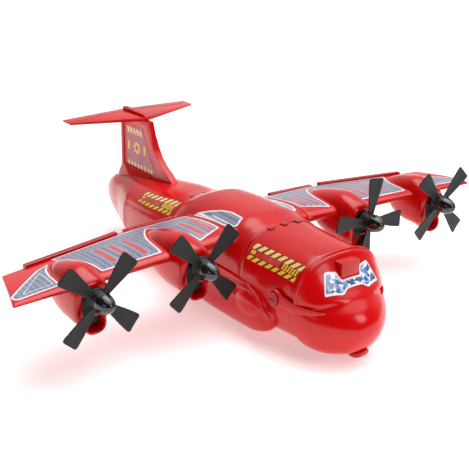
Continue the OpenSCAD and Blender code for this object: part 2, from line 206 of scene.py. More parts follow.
def finishPiece(obj, body, materials, stands=(), sharp=38, weld=True):
    if weld:
        tidyMesh(obj)
    shedSlivers(obj)
    mesh = obj.data
    if materials:
        mesh.materials.clear()
        for m in materials:
            mesh.materials.append(m)
    markWear(obj)
    mesh.polygons.foreach_set("use_smooth", [True] * len(mesh.polygons))
    mesh.set_sharp_from_angle(angle=math.radians(sharp))
    if stands:
        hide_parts(*stands)
    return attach(obj, body)


# a merged, bevelled copy of a CAD solid
def roundedCopy(node, name, body, material, width=0.4, sharp=35, steps=3):
    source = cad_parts[node]
    mesh = source.data.copy()
    obj = linked(name, mesh)
    bm = bmesh.new()
    bm.from_mesh(mesh)
    bmesh.ops.remove_doubles(bm, verts=bm.verts, dist=2e-6)
    bmesh.ops.dissolve_limit(bm, angle_limit=math.radians(0.6), verts=bm.verts, edges=bm.edges)
    bm.to_mesh(mesh)
    bm.free()
    softenEdges(obj, width, 30, steps)
    return finishPiece(obj, body, [material], [node], sharp, weld=False)


# Geometry node helpers

def addNode(tree, kind, inputs=None, **settings):
    node = tree.nodes.new(kind)
    for key, value in settings.items():
        setattr(node, key, value)
    for key, value in (inputs or {}).items():
        if isinstance(value, bpy.types.NodeSocket):
            tree.links.new(value, node.inputs[key])
        else:
            node.inputs[key].default_value = value
    return node


def newTree(name, sizes):
    tree = bpy.data.node_groups.new(name, "GeometryNodeTree")
    tree.interface.new_socket("Geometry", in_out="INPUT", socket_type="NodeSocketGeometry")
    for label, kind in sizes:
        tree.interface.new_socket(label, in_out="INPUT", socket_type=kind)
    tree.interface.new_socket("Geometry", in_out="OUTPUT", socket_type="NodeSocketGeometry")
    return tree, addNode(tree, "NodeGroupInput"), addNode(tree, "NodeGroupOutput")


def endTree(tree, given, result, shape):  # real geometry in the finish that the tree was given
    real = addNode(tree, "GeometryNodeRealizeInstances", {"Geometry": shape})
    finish = addNode(tree, "GeometryNodeSetMaterial", {"Geometry": real.outputs[0],
        "Material": given.outputs["Finish"]})
    tree.links.new(finish.outputs[0], result.inputs[0])
    return tree


def runTree(tree, part, values):  # part is (points, faces) in plain metres; the result is a plain mesh
    mesh = bpy.data.meshes.new("seed")
    mesh.from_pydata([tuple(p) for p in part[0]], [], part[1])
    obj = linked("seed", mesh)
    modifier = obj.modifiers.new("nodes", "NODES")
    modifier.node_group = tree
    for item in tree.interface.items_tree:
        if item.item_type == "SOCKET" and item.in_out == "INPUT" and item.name in values:
            modifier[item.identifier] = values[item.name]
    depsgraph = bpy.context.evaluated_depsgraph_get()
    depsgraph.update()
    result = bpy.data.meshes.new_from_object(obj.evaluated_get(depsgraph))
    bpy.data.objects.remove(obj, do_unlink=True)
    return result


# Finishes

def linear(hexColour):
    channels = [int(hexColour[i:i + 2], 16) / 255 for i in (1, 3, 5)]
    return tuple(c / 12.92 if c <= 0.04045 else ((c + 0.055) / 1.055) ** 2.4 for c in channels) + (1.0,)


def blank(name):
    material = bpy.data.materials.new(name)
    material.use_nodes = True
    tree = material.node_tree
    tree.nodes.clear()
    shader = addNode(tree, "ShaderNodeBsdfPrincipled")
    addNode(tree, "ShaderNodeOutputMaterial", {"Surface": shader.outputs[0]})
    return material, tree, shader


def noise(tree, where, perMetre, detail=3.0, rough=0.55):
    return addNode(tree, "ShaderNodeTexNoise",
                   {"Vector": where, "Scale": perMetre, "Detail": detail, "Roughness": rough}).outputs["Fac"]


def ramp(tree, factor, stops):
    node = addNode(tree, "ShaderNodeValToRGB", {"Fac": factor})
    elements = node.color_ramp.elements
    while len(elements) < len(stops):
        elements.new(0.5)
    for element, (at, colour) in zip(elements, stops):
        element.position = at
        element.color = colour
    return node.outputs["Color"]


def spread(tree, factor, low, high):
    return addNode(tree, "ShaderNodeMapRange", {"Value": factor, "To Min": low,
        "To Max": high}).outputs["Result"]


def blendColour(tree, factor, a, b, mode="MIX"):
    return addNode(tree, "ShaderNodeMix", {0: factor, 6: a, 7: b}, data_type="RGBA",
                   blend_type=mode).outputs[2]


# injection moulded ABS or PP: slow shade drift, fine grain, scuffs and paler edges
def mouldedPlastic(name, look):
    material, tree, shader = blank(name)
    where = addNode(tree, "ShaderNodeTexCoord").outputs["Object"]
    drift = noise(tree, where, 14.0, 2.0)
    cloud = noise(tree, where, 95.0, 4.0)
    grain = noise(tree, where, look["grain"], 2.0, 0.6)
    base = ramp(tree, drift, [(0.3, linear(look["dark"])), (0.5, linear(look["colour"])),
                              (0.72, linear(look["light"]))])
    mottled = blendColour(tree, spread(tree, cloud, 0.0, look["mottle"]), base, linear(look["dark"]))
    wear = addNode(tree, "ShaderNodeAttribute", attribute_name="edgeWear").outputs["Fac"]
    patchy = addNode(tree, "ShaderNodeMath", {0: wear, 1: spread(tree, cloud, 0.0, look["wear"])},
                     operation="MULTIPLY").outputs[0]
    tree.links.new(blendColour(tree, patchy, mottled, linear(look["edge"])), shader.inputs["Base Color"])
    streaks = addNode(tree, "ShaderNodeMapping", {"Vector": where, "Scale": (160.0, 900.0, 900.0),
        "Rotation": (0.2, 0.5, 0.9)})
    scuff = addNode(tree, "ShaderNodeMapRange", {"Value": noise(tree, streaks.outputs[0], 1.0, 3.0),
                    "From Min": 0.62, "From Max": 0.8, "To Min": 0.0,
                    "To Max": look["scuff"]}).outputs["Result"]
    rough = addNode(tree, "ShaderNodeMath", {0: spread(tree, cloud, look["rough"] * 0.85,
        look["rough"] * 1.15), 1: scuff}, operation="ADD")
    tree.links.new(rough.outputs[0], shader.inputs["Roughness"])
    sink = addNode(tree, "ShaderNodeBump", {"Height": drift, "Distance": look["sink"], "Strength": 0.5})
    fine = addNode(tree, "ShaderNodeBump", {"Height": grain, "Distance": look["depth"],
                                            "Strength": look["bump"], "Normal": sink.outputs[0]})
    tree.links.new(fine.outputs[0], shader.inputs["Normal"])
    shader.inputs["IOR"].default_value = 1.5
    shader.inputs["Specular IOR Level"].default_value = look.get("gloss", 0.5)
    shader.inputs["Coat Weight"].default_value = look["coat"]
    shader.inputs["Coat Roughness"].default_value = 0.06
    return material


redShell = mouldedPlastic("moulded_abs_red", {
    "colour": "#cf0508", "dark": "#bd0306", "light": "#d8070b", "edge": "#f0625a", "grain": 2600.0,
    "mottle": 0.12, "gloss": 0.32,
    "wear": 0.35, "scuff": 0.05, "rough": 0.2, "sink": 0.0004, "depth": 0.00001, "bump": 0.12, "coat": 0.14})
deepRed = mouldedPlastic("moulded_abs_deep_red", {
    "colour": "#a80a12", "dark": "#92070e", "light": "#b50e16", "edge": "#d8453f", "grain": 2600.0,
    "mottle": 0.2, "gloss": 0.35,
    "wear": 0.4, "scuff": 0.12, "rough": 0.28, "sink": 0.0003, "depth": 0.00003, "bump": 0.3, "coat": 0.15})
bladeBlack = mouldedPlastic("spark_eroded_pp_black", {  # matt blades with a fine spark-eroded texture
    "colour": "#171918", "dark": "#101211", "light": "#202322", "edge": "#5e6260", "grain": 3800.0,
    "mottle": 0.4,
    "wear": 0.5, "scuff": 0.12, "rough": 0.5, "gloss": 0.35, "sink": 0.0002, "depth": 0.00008, "bump": 0.8,
    "coat": 0.0})
spinnerBlack = mouldedPlastic("polished_abs_black", {
    "colour": "#121414", "dark": "#0c0d0d", "light": "#191b1b", "edge": "#4a4e4f", "grain": 2600.0,
    "mottle": 0.3,
    "wear": 0.3, "scuff": 0.08, "rough": 0.2, "sink": 0.0002, "depth": 0.00002, "bump": 0.2, "coat": 0.6})
wheelBlack = mouldedPlastic("moulded_pp_wheel_black", {
    "colour": "#262827", "dark": "#1b1d1c", "light": "#303331", "edge": "#6d706d", "grain": 1900.0,
    "mottle": 0.5,
    "wear": 0.6, "scuff": 0.2, "rough": 0.5, "sink": 0.0002, "depth": 0.00006, "bump": 0.6, "coat": 0.0})
innerGrey = mouldedPlastic("moulded_hips_grey", {
    "colour": "#6f7376", "dark": "#5e6265", "light": "#7d8184", "edge": "#a5a9ab", "grain": 2200.0,
    "mottle": 0.4,
    "wear": 0.5, "scuff": 0.2, "rough": 0.48, "sink": 0.0003, "depth": 0.00006, "bump": 0.5, "coat": 0.0})


def drawnSteel(name):  # bright drawn wire and pressed screws: fine lines, faint brown bloom
    material, tree, shader = blank(name)
    where = addNode(tree, "ShaderNodeTexCoord").outputs["Object"]
    lines = noise(tree, addNode(tree, "ShaderNodeMapping", {"Vector": where,
        "Scale": (400.0, 6000.0, 6000.0)}).outputs[0], 1.0, 2.0)
    bloom = noise(tree, where, 220.0, 4.0)
    base = ramp(tree, bloom, [(0.35, linear("#b9bcc0")), (0.6, linear("#d3d5d8")), (0.85, linear("#a08f80"))])
    tree.links.new(base, shader.inputs["Base Color"])
    tree.links.new(spread(tree, lines, 0.2, 0.42), shader.inputs["Roughness"])
    tree.links.new(addNode(tree, "ShaderNodeBump", {"Height": lines, "Distance": 0.00003,
        "Strength": 0.4}).outputs[0], shader.inputs["Normal"])
    shader.inputs["Metallic"].default_value = 1.0
    return material


shaftSteel = drawnSteel("drawn_steel")


def printedVinyl(name, look):  # printed sticker film: ink speckle, slight orange peel, glossy laminate
    material, tree, shader = blank(name)
    where = addNode(tree, "ShaderNodeTexCoord").outputs["Object"]
    speckle = noise(tree, where, 2400.0, 2.0)
    patch = noise(tree, where, look.get("patch", 60.0), 3.0)
    base = ramp(tree, patch, [(0.3, linear(look["dark"])), (0.55, linear(look["colour"])),
                              (0.8, linear(look["light"]))])
    if "lines" in look:  # shaded stripes along the chord, spaced across the span
        waves = addNode(tree, "ShaderNodeTexWave", {"Vector": where, "Scale": look["lines"],
            "Distortion": look["waver"], "Detail": 1.0,
                        "Detail Scale": 6.0}, wave_type="BANDS", bands_direction="Y",
                        wave_profile="SIN").outputs["Fac"]
        base = blendColour(tree, spread(tree, waves, 0.0, look["lineMix"]), base, linear(look["line"]))
    inked = blendColour(tree, spread(tree, speckle, 0.0, 0.12), base, linear(look["dark"]))
    tree.links.new(inked, shader.inputs["Base Color"])
    tree.links.new(spread(tree, patch, look["rough"] * 0.8, look["rough"] * 1.2), shader.inputs["Roughness"])
    tree.links.new(addNode(tree, "ShaderNodeBump", {"Height": speckle, "Distance": 0.00002,
        "Strength": 0.3}).outputs[0], shader.inputs["Normal"])
    shader.inputs["Coat Weight"].default_value = look["coat"]
    shader.inputs["Coat Roughness"].default_value = 0.1
    return material


whiteFilm = printedVinyl("printed_vinyl_white", {"colour": "#ece9ec", "dark": "#dcd9de", "light": "#f5f3f5",
    "rough": 0.3, "coat": 0.4})
wingFilm = printedVinyl("printed_vinyl_slate", {"colour": "#686e88", "dark": "#575d78", "light": "#81869e",
    "rough": 0.3, "coat": 0.2,
                        "patch": 22.0, "lines": 60.0, "waver": 1.5, "lineMix": 0.6, "line": "#a4a8bb"})
paleFilm = printedVinyl("printed_vinyl_pale_slate", {"colour": "#9a9db0", "dark": "#868a9f",
    "light": "#b6b8c6", "rough": 0.3, "coat": 0.2})
redFilm = printedVinyl("printed_vinyl_red", {"colour": "#d33a38", "dark": "#bd2a2c", "light": "#e06560",
                                             "rough": 0.32, "coat": 0.4, "patch": 45.0})
darkFilm = printedVinyl("printed_vinyl_maroon", {"colour": "#8a1c1c", "dark": "#701415", "light": "#9c2824",
    "rough": 0.34, "coat": 0.15})
pinkFilm = printedVinyl("printed_vinyl_dusty_rose", {"colour": "#b04a58", "dark": "#9d3a48",
    "light": "#c0616d", "rough": 0.34, "coat": 0.3})
yellowFilm = printedVinyl("printed_vinyl_amber", {"colour": "#fbcb3c", "dark": "#f2b11e",
    "light": "#ffe278", "rough": 0.32, "coat": 0.2, "patch": 30.0})
creamFilm = printedVinyl("printed_vinyl_cream", {"colour": "#f8d98c", "dark": "#efc262", "light": "#fcebbc",
    "rough": 0.32, "coat": 0.2, "patch": 30.0})


def glazedFilm(name):  # printed cockpit glass: blue shards with white glints
    material, tree, shader = blank(name)
    where = addNode(tree, "ShaderNodeTexCoord").outputs["Object"]
    bent = addNode(tree, "ShaderNodeMapping", {"Vector": where, "Rotation": (0.3, 0.5, 0.4)}).outputs[0]
    cells = addNode(tree, "ShaderNodeTexVoronoi", {"Vector": bent, "Scale": 290.0, "Randomness": 1.0},
                    feature="F1", distance="MANHATTAN")
    shade = addNode(tree, "ShaderNodeSeparateColor", {"Color": cells.outputs["Color"]}).outputs["Red"]
    base = ramp(tree, shade, [(0.12, linear("#12265e")), (0.4, linear("#23559e")),
                              (0.65, linear("#6a98d2")), (0.88, linear("#eef4fc"))])
    glint = noise(tree, where, 120.0, 2.0)
    tree.links.new(blendColour(tree, spread(tree, glint, 0.0, 0.14), base, linear("#dfe8f7")),
                   shader.inputs["Base Color"])
    tree.links.new(spread(tree, glint, 0.12, 0.28), shader.inputs["Roughness"])
    tree.links.new(addNode(tree, "ShaderNodeBump", {"Height": glint, "Distance": 0.00004,
        "Strength": 0.3}).outputs[0], shader.inputs["Normal"])
    shader.inputs["Coat Weight"].default_value = 0.6
    shader.inputs["Coat Roughness"].default_value = 0.05
    return material


glassFilm = glazedFilm("printed_vinyl_glass_blue")
print("finishes ready")

# Fuselage sections

# Columns: x, half width, top z, bottom z, squareness
hullTable = [
    (-326, 3, -31, -42, 2), (-318, 9, -23, -50, 2.2), (-300, 17, -13, -58, 2.3), (-270, 27, -6, -67, 2.4),
    (-232, 38.5, -1, -72.5, 2.5), (-180, 46, 5.5, -75, 2.5), (-135, 48.5, 9.7, -76, 2.5),
    (-125, 50, 15, -77, 2.6),
    (-110, 51, 19.5, -77, 2.6), (-75, 52, 21, -77, 2.6), (-42, 52, 20.5, -77, 2.6),
    (-25, 51.5, 17.5, -77, 2.6),
    (-13, 51.5, 15.3, -77, 2.6), (30, 48.2, 13.8, -75, 2.6), (56, 47.5, 12.8, -73.4, 2.6),
    (61.5, 46, 10.4, -72, 2.6)]
visorTable = [
    (61, 50.1, 15.4, -75.2, 2.6), (64.5, 49.5, 13.8, -75.7, 2.6), (69, 47.7, 8.2, -76, 2.6),
    (75, 45.4, 0, -76, 2.5),
    (82, 41.5, -9, -75, 2.4), (90, 35, -17, -72.5, 2.3), (97, 27.5, -23, -69, 2.2),
    (103, 18.5, -30, -63.5, 2.1),
    (107, 9.5, -38.5, -55.5, 2), (108.2, 1.0, -46, -48, 2)]
nacelleTable = [
    (-78, 5, 6, -8, 2), (-68, 12, 12, -16, 2.2), (-50, 17.3, 18, -27, 2.4), (-35, 18, 20.5, -30, 2.4),
    (-20, 17.5, 17, -30, 2.5), (-10, 16.5, 13, -27, 2.5)]
chinTable = [(-46, 6, -16, -27, 2.2), (-25, 9.5, -15, -32, 2.3), (-8, 10.5, -15, -34, 2.3)]
fairingTable = [
    (-125, 3, -42, -64, 2), (-90, 11, -30, -72, 2.3), (-45, 13, -26, -74, 2.4), (5, 13, -27, -73, 2.4),
    (20, 11.5, -31, -69, 2.3), (29, 8, -38, -63, 2.2), (33, 3, -46, -56, 2)]


def smoothTable(table):  # monotone cubic through the stations
    data = np.array(table, float)
    x, y = data[:, 0], data[:, 1:]
    step = np.diff(x)[:, None]
    rise = np.diff(y, axis=0) / step
    slope = np.zeros_like(y)
    for i in range(1, len(x) - 1):
        a, b = rise[i - 1], rise[i]
        w1, w2 = 2 * step[i] + step[i - 1], step[i] + 2 * step[i - 1]
        same = a * b > 0
        slope[i][same] = ((w1 + w2) / (w1 / np.where(same, a, 1) + w2 / np.where(same, b, 1)))[same]
    slope[0], slope[-1] = rise[0], rise[-1]

    def at(q):
        q = min(max(q, x[0]), x[-1])
        i = min(max(int(np.searchsorted(x, q)) - 1, 0), len(x) - 2)
        h = x[i + 1] - x[i]
        t = (q - x[i]) / h
        return ((1 + 2 * t) * (1 - t) ** 2 * y[i] + t * (1 - t) ** 2 * h * slope[i]
                + t * t * (3 - 2 * t) * y[i + 1] + t * t * (t - 1) * h * slope[i + 1])
    return at


hullAt, visorAt, fairingAt = smoothTable(hullTable), smoothTable(visorTable), smoothTable(fairingTable)
dense = np.linspace(-math.pi / 2, 1.5 * math.pi, 1441)


def sectionOf(row, inset=0.0):  # dense (y, z) loop from the keel round the left side
    w = max(row[0] - inset, 0.3)
    h = max((row[1] - row[2]) / 2 - inset, 0.3)
    c, s = np.cos(dense), np.sin(dense)
    e = 2 / row[3]
    return np.column_stack([np.sign(c) * w * np.abs(c) ** e, (row[1] + row[2]) / 2 + np.sign(s) * h
                            * np.abs(s) ** e])


def evenly(loop, count, closed=True):  # the same path with evenly spaced points
    run = np.concatenate([[0], np.cumsum(np.linalg.norm(np.diff(loop, axis=0), axis=1))])
    marks = np.linspace(0, run[-1], count + 1)[:-1] if closed else np.linspace(0, run[-1], count)
    return np.column_stack([np.interp(marks, run, loop[:, k]) for k in range(loop.shape[1])])


def ringAt(table, x, inset=0.0, count=112, sculpt=None):
    loop = evenly(sectionOf(table(x), inset), count)
    ring = np.column_stack([np.full(count, float(x)), loop])
    return sculpt(ring) if sculpt else ring


def halfWidthAt(table, x, z, inset=0.0):
    w, top, bottom, n = table(x)
    h = (top - bottom) / 2 - inset
    u = min(abs(z - (top + bottom) / 2) / h, 1.0)
    return (w - inset) * (1 - u ** n) ** (1 / n)


def stretches(x0, x1, step):
    return list(np.linspace(x0, x1, max(int(abs(x1 - x0) / step), 2) + 1))


def rimmed(x0, x1, step=2.5, lip=1.2):  # x positions and insets that round both open rims
    turn = [(0.0, 1.0), (0.15, 0.65), (0.45, 0.22), (1.0, 0.0)]
    start = [(x0 + a * lip, b * lip) for a, b in turn]
    end = [(x1 - a * lip, b * lip) for a, b in reversed(turn)]
    return start + [(x, 0.0) for x in stretches(x0 + lip, x1 - lip, step)[1:-1]] + end


def tube(table, x0, x1, wall=2.0, sculpt=None, count=112):
    rings = [ringAt(table, x, inset, count, sculpt) for x, inset in rimmed(x0, x1)]
    rings += [ringAt(table, x, wall, count, sculpt) for x in stretches(x1, x0, 5)]
    return loft(rings, closed=True)


fuselage = {"wall": 2.0, "frontSeam": -13.0, "noseSeam": 61.0, "rearSeam": -135.0, "gap": 0.4, "split": -12.0,
            "noseWheelX": 38.0, "wheelXs": (-28.0, -88.0), "wheelY": 30.0, "axleZ": -72.5, "wheelR": 9.0}


def wheelWell(x, y):
    r = fuselage["wheelR"] + 1.5
    return objectFrom("well", *roundedBox((x - r, y - 4.5, -90), (x + r, y + 4.5, -61), 1.0))


def axleBlocks(x, inner):
    parts = []
    for s in (-1, 1):
        y0, y1 = sorted((s * inner, s * (inner + 4)))
        parts.append(roundedBox((x - 4, y0, -75.4), (x + 4, y1, -65.6), 0.4))
    return parts


front = objectFrom("front_shell", *tube(hullAt, fuselage["frontSeam"] + 0.2, fuselage["noseSeam"] - 0.4))
cutWith(front, [wheelWell(fuselage["noseWheelX"], 0)])
bosses = [lathe([(0, 3.1), (0, 6.5), (6, 6.5), (6, 3.1)], (38, y, -27), "y") for y in (-47, 41)]
extra = objectFrom("extra", *together(*bosses, *axleBlocks(fuselage["noseWheelX"], 7)))


def joinObjects(target, others):
    bm = bmesh.new()
    bm.from_mesh(target.data)
    for other in others:
        bm.from_mesh(other.data)
    bm.to_mesh(target.data)
    bm.free()
    for other in others:
        bpy.data.objects.remove(other, do_unlink=True)
    return target


finishPiece(joinObjects(front, [extra]), "airframe", [redShell], ["front_barrel"])

# Rear shell with the ramp opening, and the ramp cut from the same skin
rampPlan = {"hingeX": -204.0, "hingeZ": -72.5, "endX": -298.0, "wide": 27.0, "narrow": 11.0}


def rampPrism(gap):
    x0, x1 = rampPlan["hingeX"] - 3.6 + gap, rampPlan["endX"] - gap
    a, b = rampPlan["wide"] + gap, rampPlan["narrow"] + gap
    base = [(x0, a), (x0, -a), (x1, -b), (x1, b)]
    return objectFrom("prism", *loft([[(x, y, z) for x, y in base] for z in (-100.0, -44.0)]))


def tailSculpt(ring):  # a flat-sided taper behind a soft vertical edge, and a crease along the flank
    out = ring.copy()
    for i, (x, y, z) in enumerate(ring):
        side = 1 if y > 0 else -1
        crease = math.exp(-((z - np.interp(x, [-240, -150], [-22, -14])) / 2.2) ** 2) * min(max((-146
            - x) / 20, 0), 1) * min(max((x + 250) / 25, 0), 1)
        edge = math.exp(-((x + 236) / 5.0) ** 2) * math.exp(-((z + 36) / 26) ** 4)
        hollow = math.exp(-((x + 268) / 22) ** 2) * math.exp(-((z + 34) / 22) ** 4)
        if abs(y) > 4:
            out[i, 1] = y + side * (0.9 * edge - 0.55 * crease - 1.4 * hollow) * min((abs(y) - 4) / 10, 1)
    return out


def rearTube():
    xs = rimmed(-326.0, fuselage["rearSeam"] - 0.2, 2.6)[4:]
    outer = [ringAt(hullAt, x, inset, 150) for x, inset in ((-326.9, 2.4), (-326.6, 1.2), (-326, 0.2))]
    outer += [ringAt(hullAt, x, inset, 150, tailSculpt) for x, inset in xs]
    inner = [ringAt(hullAt, x, 2.6, 150, tailSculpt) for x in stretches(fuselage["rearSeam"] - 0.2, -321, 4)]
    return loft(outer + inner)


rear = objectFrom("rear_shell", *rearTube())
tidyMesh(rear)
rampSkin = rear.copy()
rampSkin.data = rear.data.copy()
rampSkin.name = "ramp_door"
scene.collection.objects.link(rampSkin)
cutWith(rear, [rampPrism(0.4)])
cutWith(rampSkin, [rampPrism(0.0)], "INTERSECT")
pinLugs = [lathe([(0, 1.0), (0, 2.6), (8, 2.6), (8, 1.0)], (rampPlan["hingeX"], y, rampPlan["hingeZ"]),
                 "y") for y in (-22, 14)]
finishPiece(joinObjects(rear, [objectFrom("lugs", *together(*pinLugs))]), "airframe", [redShell],
            ["rear_barrel"])
softenEdges(rampSkin, 0.3, 50, 2)
tidyMesh(rampSkin, 8e-6)
rampKnuckle = lathe([(0, 1.05), (0, 2.6), (27, 2.6), (27, 1.05)],
                    (rampPlan["hingeX"], -13.5, rampPlan["hingeZ"]), "y")
rampWeb = roundedBox((rampPlan["hingeX"] - 9, -12, -74.6), (rampPlan["hingeX"] - 1.5, 12, -71.2), 0.4)
finishPiece(joinObjects(rampSkin, [objectFrom("knuckle", *together(rampKnuckle, rampWeb))]), "ramp_body",
            [redShell], ["ramp"])
print("fuselage shells ready")

# Centre section

def arcBelow(x, cut, inset, count):  # (y, z) from the left split under the keel to the right split
    half = sectionOf(hullAt(x), inset)[:721]
    side = half[half[:, 1] < cut]
    side = np.vstack([side, [halfWidthAt(hullAt, x, cut, inset), cut]])
    arc = np.vstack([side[::-1], side[1:] * [-1, 1]])
    return evenly(arc, count, closed=False)


def openRing(x, outer, inner):
    yz = np.vstack([outer, inner[::-1]])
    return np.column_stack([np.full(len(yz), float(x)), yz])


rearX, frontX = fuselage["rearSeam"] + 0.2, fuselage["frontSeam"] - 0.2
tub = objectFrom("belly_tub", *loft([
    openRing(x, arcBelow(x, fuselage["split"] - 0.1, inset, 90), arcBelow(x, fuselage["split"] - 0.1, 2.0,
        90))
    for x, inset in rimmed(rearX, frontX, 3.0)]))
tidyMesh(tub)
cutWith(tub, [wheelWell(x, s * fuselage["wheelY"]) for x in fuselage["wheelXs"] for s in (-1, 1)])
blocks = sum([axleBlocks(x, fuselage["wheelY"] - 9.5) for x in fuselage["wheelXs"]], [])
finishPiece(joinObjects(tub, [objectFrom("blocks", *together(*blocks))]), "airframe", [redShell],
            ["centre_tub"])

wing = {"rootY": 46.0, "kinkY": 110.0, "tipY": 270.0, "slant": 18.0, "rootThick": 15.0, "tipThick": 5.5,
        "rootTrail": -106.0, "trailSweep": 27.0}


def foil(t):
    return 2.1 * (1.55 * math.sqrt(t) - 1.27 * t - 0.25 * t * t) + 0.08 * t


# leading x, trailing x, thickness, middle height, slant at the station named by its leading edge
def wingRow(y):
    q = max(y - wing["kinkY"], 0) / (wing["tipY"] - wing["kinkY"])
    lead = -30 + (y - 44) * 10 / 226
    thick = wing["rootThick"] + (y - 44) * (wing["tipThick"] - wing["rootThick"]) / 226
    return lead, wing["rootTrail"] + wing["trailSweep"] * q, thick, 3.2 - 0.006 * (y - 44), wing["slant"] * q


def coverHalf(x, inset):  # left half of the cover's section, with the wing root flowing out of it
    lead, trail, thick, mid, _ = wingRow(wing["rootY"])
    t = (lead - x) / (lead - trail)
    inChord = 0 < t < 1
    up = 0.6 * thick * foil(t) - inset if inChord else 0.0
    down = 0.4 * thick * foil(t) - inset if inChord else 0.0
    centre = mid + (up - down) / 2 if inChord else mid
    half = sectionOf(hullAt(x), inset)[:721]
    cut = fuselage["split"] + 0.2
    side = half[half[:, 1] > cut]
    side = np.vstack([[halfWidthAt(hullAt, x, cut, inset), cut], side])
    phi = np.arctan2(side[:, 1] - centre, side[:, 0])
    reach = np.hypot(side[:, 0], side[:, 1] - centre)
    marks = np.linspace(phi[0], math.pi / 2, 500)
    hull = np.interp(marks, phi, reach)
    out = hull.copy()
    if inChord and up + down > 0.2:
        c, s = np.maximum(np.cos(marks), 1e-6), np.sin(marks)
        edge = (wing["rootY"] - 0.05) / c
        limit = np.where(s > 0, (mid + up - centre) / np.maximum(s, 1e-6),
                         (centre - mid + down) / np.maximum(-s, 1e-6))
        root = np.minimum(edge, limit)
        out = (hull ** 14 + root ** 14) ** (1 / 14)
        out = np.minimum(out, np.maximum(hull, edge))
    yz = np.column_stack([out * np.cos(marks), centre + out * np.sin(marks)])
    yz[-1, 0] = 0
    return yz


def coverArc(x, inset, count):
    half = evenly(coverHalf(x, inset), count, closed=False)
    return np.vstack([half, half[-2::-1] * [-1, 1]])


def innerArc(x, count):
    half = sectionOf(hullAt(x), 2.0)[:721]
    cut = fuselage["split"] + 0.2
    side = half[half[:, 1] > cut]
    side = np.vstack([[halfWidthAt(hullAt, x, cut, 2.0), cut], side])
    side[-1, 0] = 0
    half = evenly(side, count, closed=False)
    return np.vstack([half, half[-2::-1] * [-1, 1]])


coverXs = dict(rimmed(rearX, frontX, 2.0))
rimBead = [(1.3, -0.5), (1.8, -0.7), (2.6, -0.65), (3.0, -0.3), (3.2, 0.0)]  # distance from the rim, growth
for along, grow in rimBead:
    coverXs[frontX - along] = grow
    coverXs[rearX + along] = grow
coverXs = {x: inset for x, inset in coverXs.items() if inset != 0
           or not (frontX - 3.1 < x < frontX - 1.3 or rearX + 1.3 < x < rearX + 3.1)}
for t in (0.001, 0.003, 0.007, 0.013, 0.022, 0.035, 0.05, 0.07):
    coverXs[-30.09 - 75.9 * t] = 0.0
for x in (-105.2, -105.7, -106.1, -106.6):
    coverXs[x] = 0.0
cover = objectFrom("centre_cover_shell", *loft([
    openRing(x, coverArc(x, coverXs[x], 80), innerArc(x, 80)) for x in sorted(coverXs)]))
finishPiece(cover, "airframe", [redShell], ["centre_cover"], 30)

# Seam latches, pressed from the cover over the shells in front and behind
roundedCopy("seam_latches", "seam_tabs", "airframe", deepRed, 0.5)
print("centre section ready")

# Nose visor

noseShape = {"creaseZ": -25.0, "recess": 2.4, "bulge": 1.1, "above": 1.8, "below": 7.0}


def noseSculpt(ring):  # the canopy overhangs a recess that swells out again into the chin
    out = ring.copy()
    for i, (x, y, z) in enumerate(ring):
        along = min(max((x - 62) / 10, 0), 1)
        ahead = min(max((x - 80) / 20, 0), 1)
        crease = noseShape["creaseZ"] + 4.5 * ahead
        dz = z - crease
        width = noseShape["above"] * (1 + 1.8 * ahead) if dz > 0 else noseShape["below"]
        flank = min(max((abs(y) - 10) / 24, 0), 1)
        fade = along * (0.45 + 0.55 * flank * flank * (3 - 2 * flank))
        push = -noseShape["recess"] * fade * math.exp(-(dz / width) ** 2)
        push += noseShape["bulge"] * along * math.exp(-((z + 44) / 11) ** 2)
        dx, dy = (x - 52) * 0.8, y
        reach = max(math.hypot(dx, dy), 4.0)
        limit = min(math.hypot(dx, dy) / 12, 1)
        out[i] = (x + push * dx / reach * min(along * 2, 1) * (0.3 + 0.7 * along),
                  y + push * dy / reach * limit, z)
    return out


rimGrowth = {61.8: 0.8, 62.3: 0.95, 63.0: 0.9, 63.4: 0.5, 63.7: -0.3, 64.3: -0.25}  # growth at each x


def rimSculpt(ring):  # the proud rim fades out under the arms
    out = ring.copy()
    for i, (x, y, z) in enumerate(ring):
        fade = min(max((z + 38) / 12, 0), 1)
        grow = rimGrowth.get(round(x, 2), 0.0) * fade * fade * (3 - 2 * fade)
        middle = -30.0
        reach = max(math.hypot(y, z - middle), 1.0)
        out[i] = (x, y + grow * y / reach, z + grow * (z - middle) / reach)
    return out


def noseRings():
    outer = [(x, 0.0) for x in [64.9] + stretches(65.5, 107, 1.1)]
    rings = [ringAt(visorAt, 61.0, 1.3, 220), ringAt(visorAt, 61.2, 0.8, 220),
             ringAt(visorAt, 61.5, 0.1, 220)]
    rings += [ringAt(visorAt, x, 0.0, 220, rimSculpt) for x in sorted(rimGrowth)]
    rings += [ringAt(visorAt, x, inset, 220, noseSculpt) for x, inset in outer]
    rings += [ringAt(visorAt, x, 0.0, 220, noseSculpt) for x in (107.5, 107.9, 108.15)]
    inner = [ringAt(visorAt, x, 1.8, 220, noseSculpt if x > 62 else None) for x in stretches(61.0, 105.5,
        2.0)]
    return loft(inner[::-1] + rings)


visor = objectFrom("nose_shell", *noseRings())
finishPiece(visor, "nose_visor_body", [redShell], ["nose_visor"], 50)


armLook = {"innerY": 49.15, "outerY": 52.2, "bossR": 8.6, "pivot": (38.0, -27.0), "endX": 85.0}


def superLoop(y0, y1, z0, z1, n=3.0, count=40):
    loop = []
    for k in range(count):
        a = 2 * math.pi * k / count
        c, s = math.cos(a), math.sin(a)
        loop.append(((y0 + y1) / 2 + (y1 - y0) / 2 * math.copysign(abs(c) ** (2 / n), c),
                     (z0 + z1) / 2 + (z1 - z0) / 2 * math.copysign(abs(s) ** (2 / n), s)))
    return loop


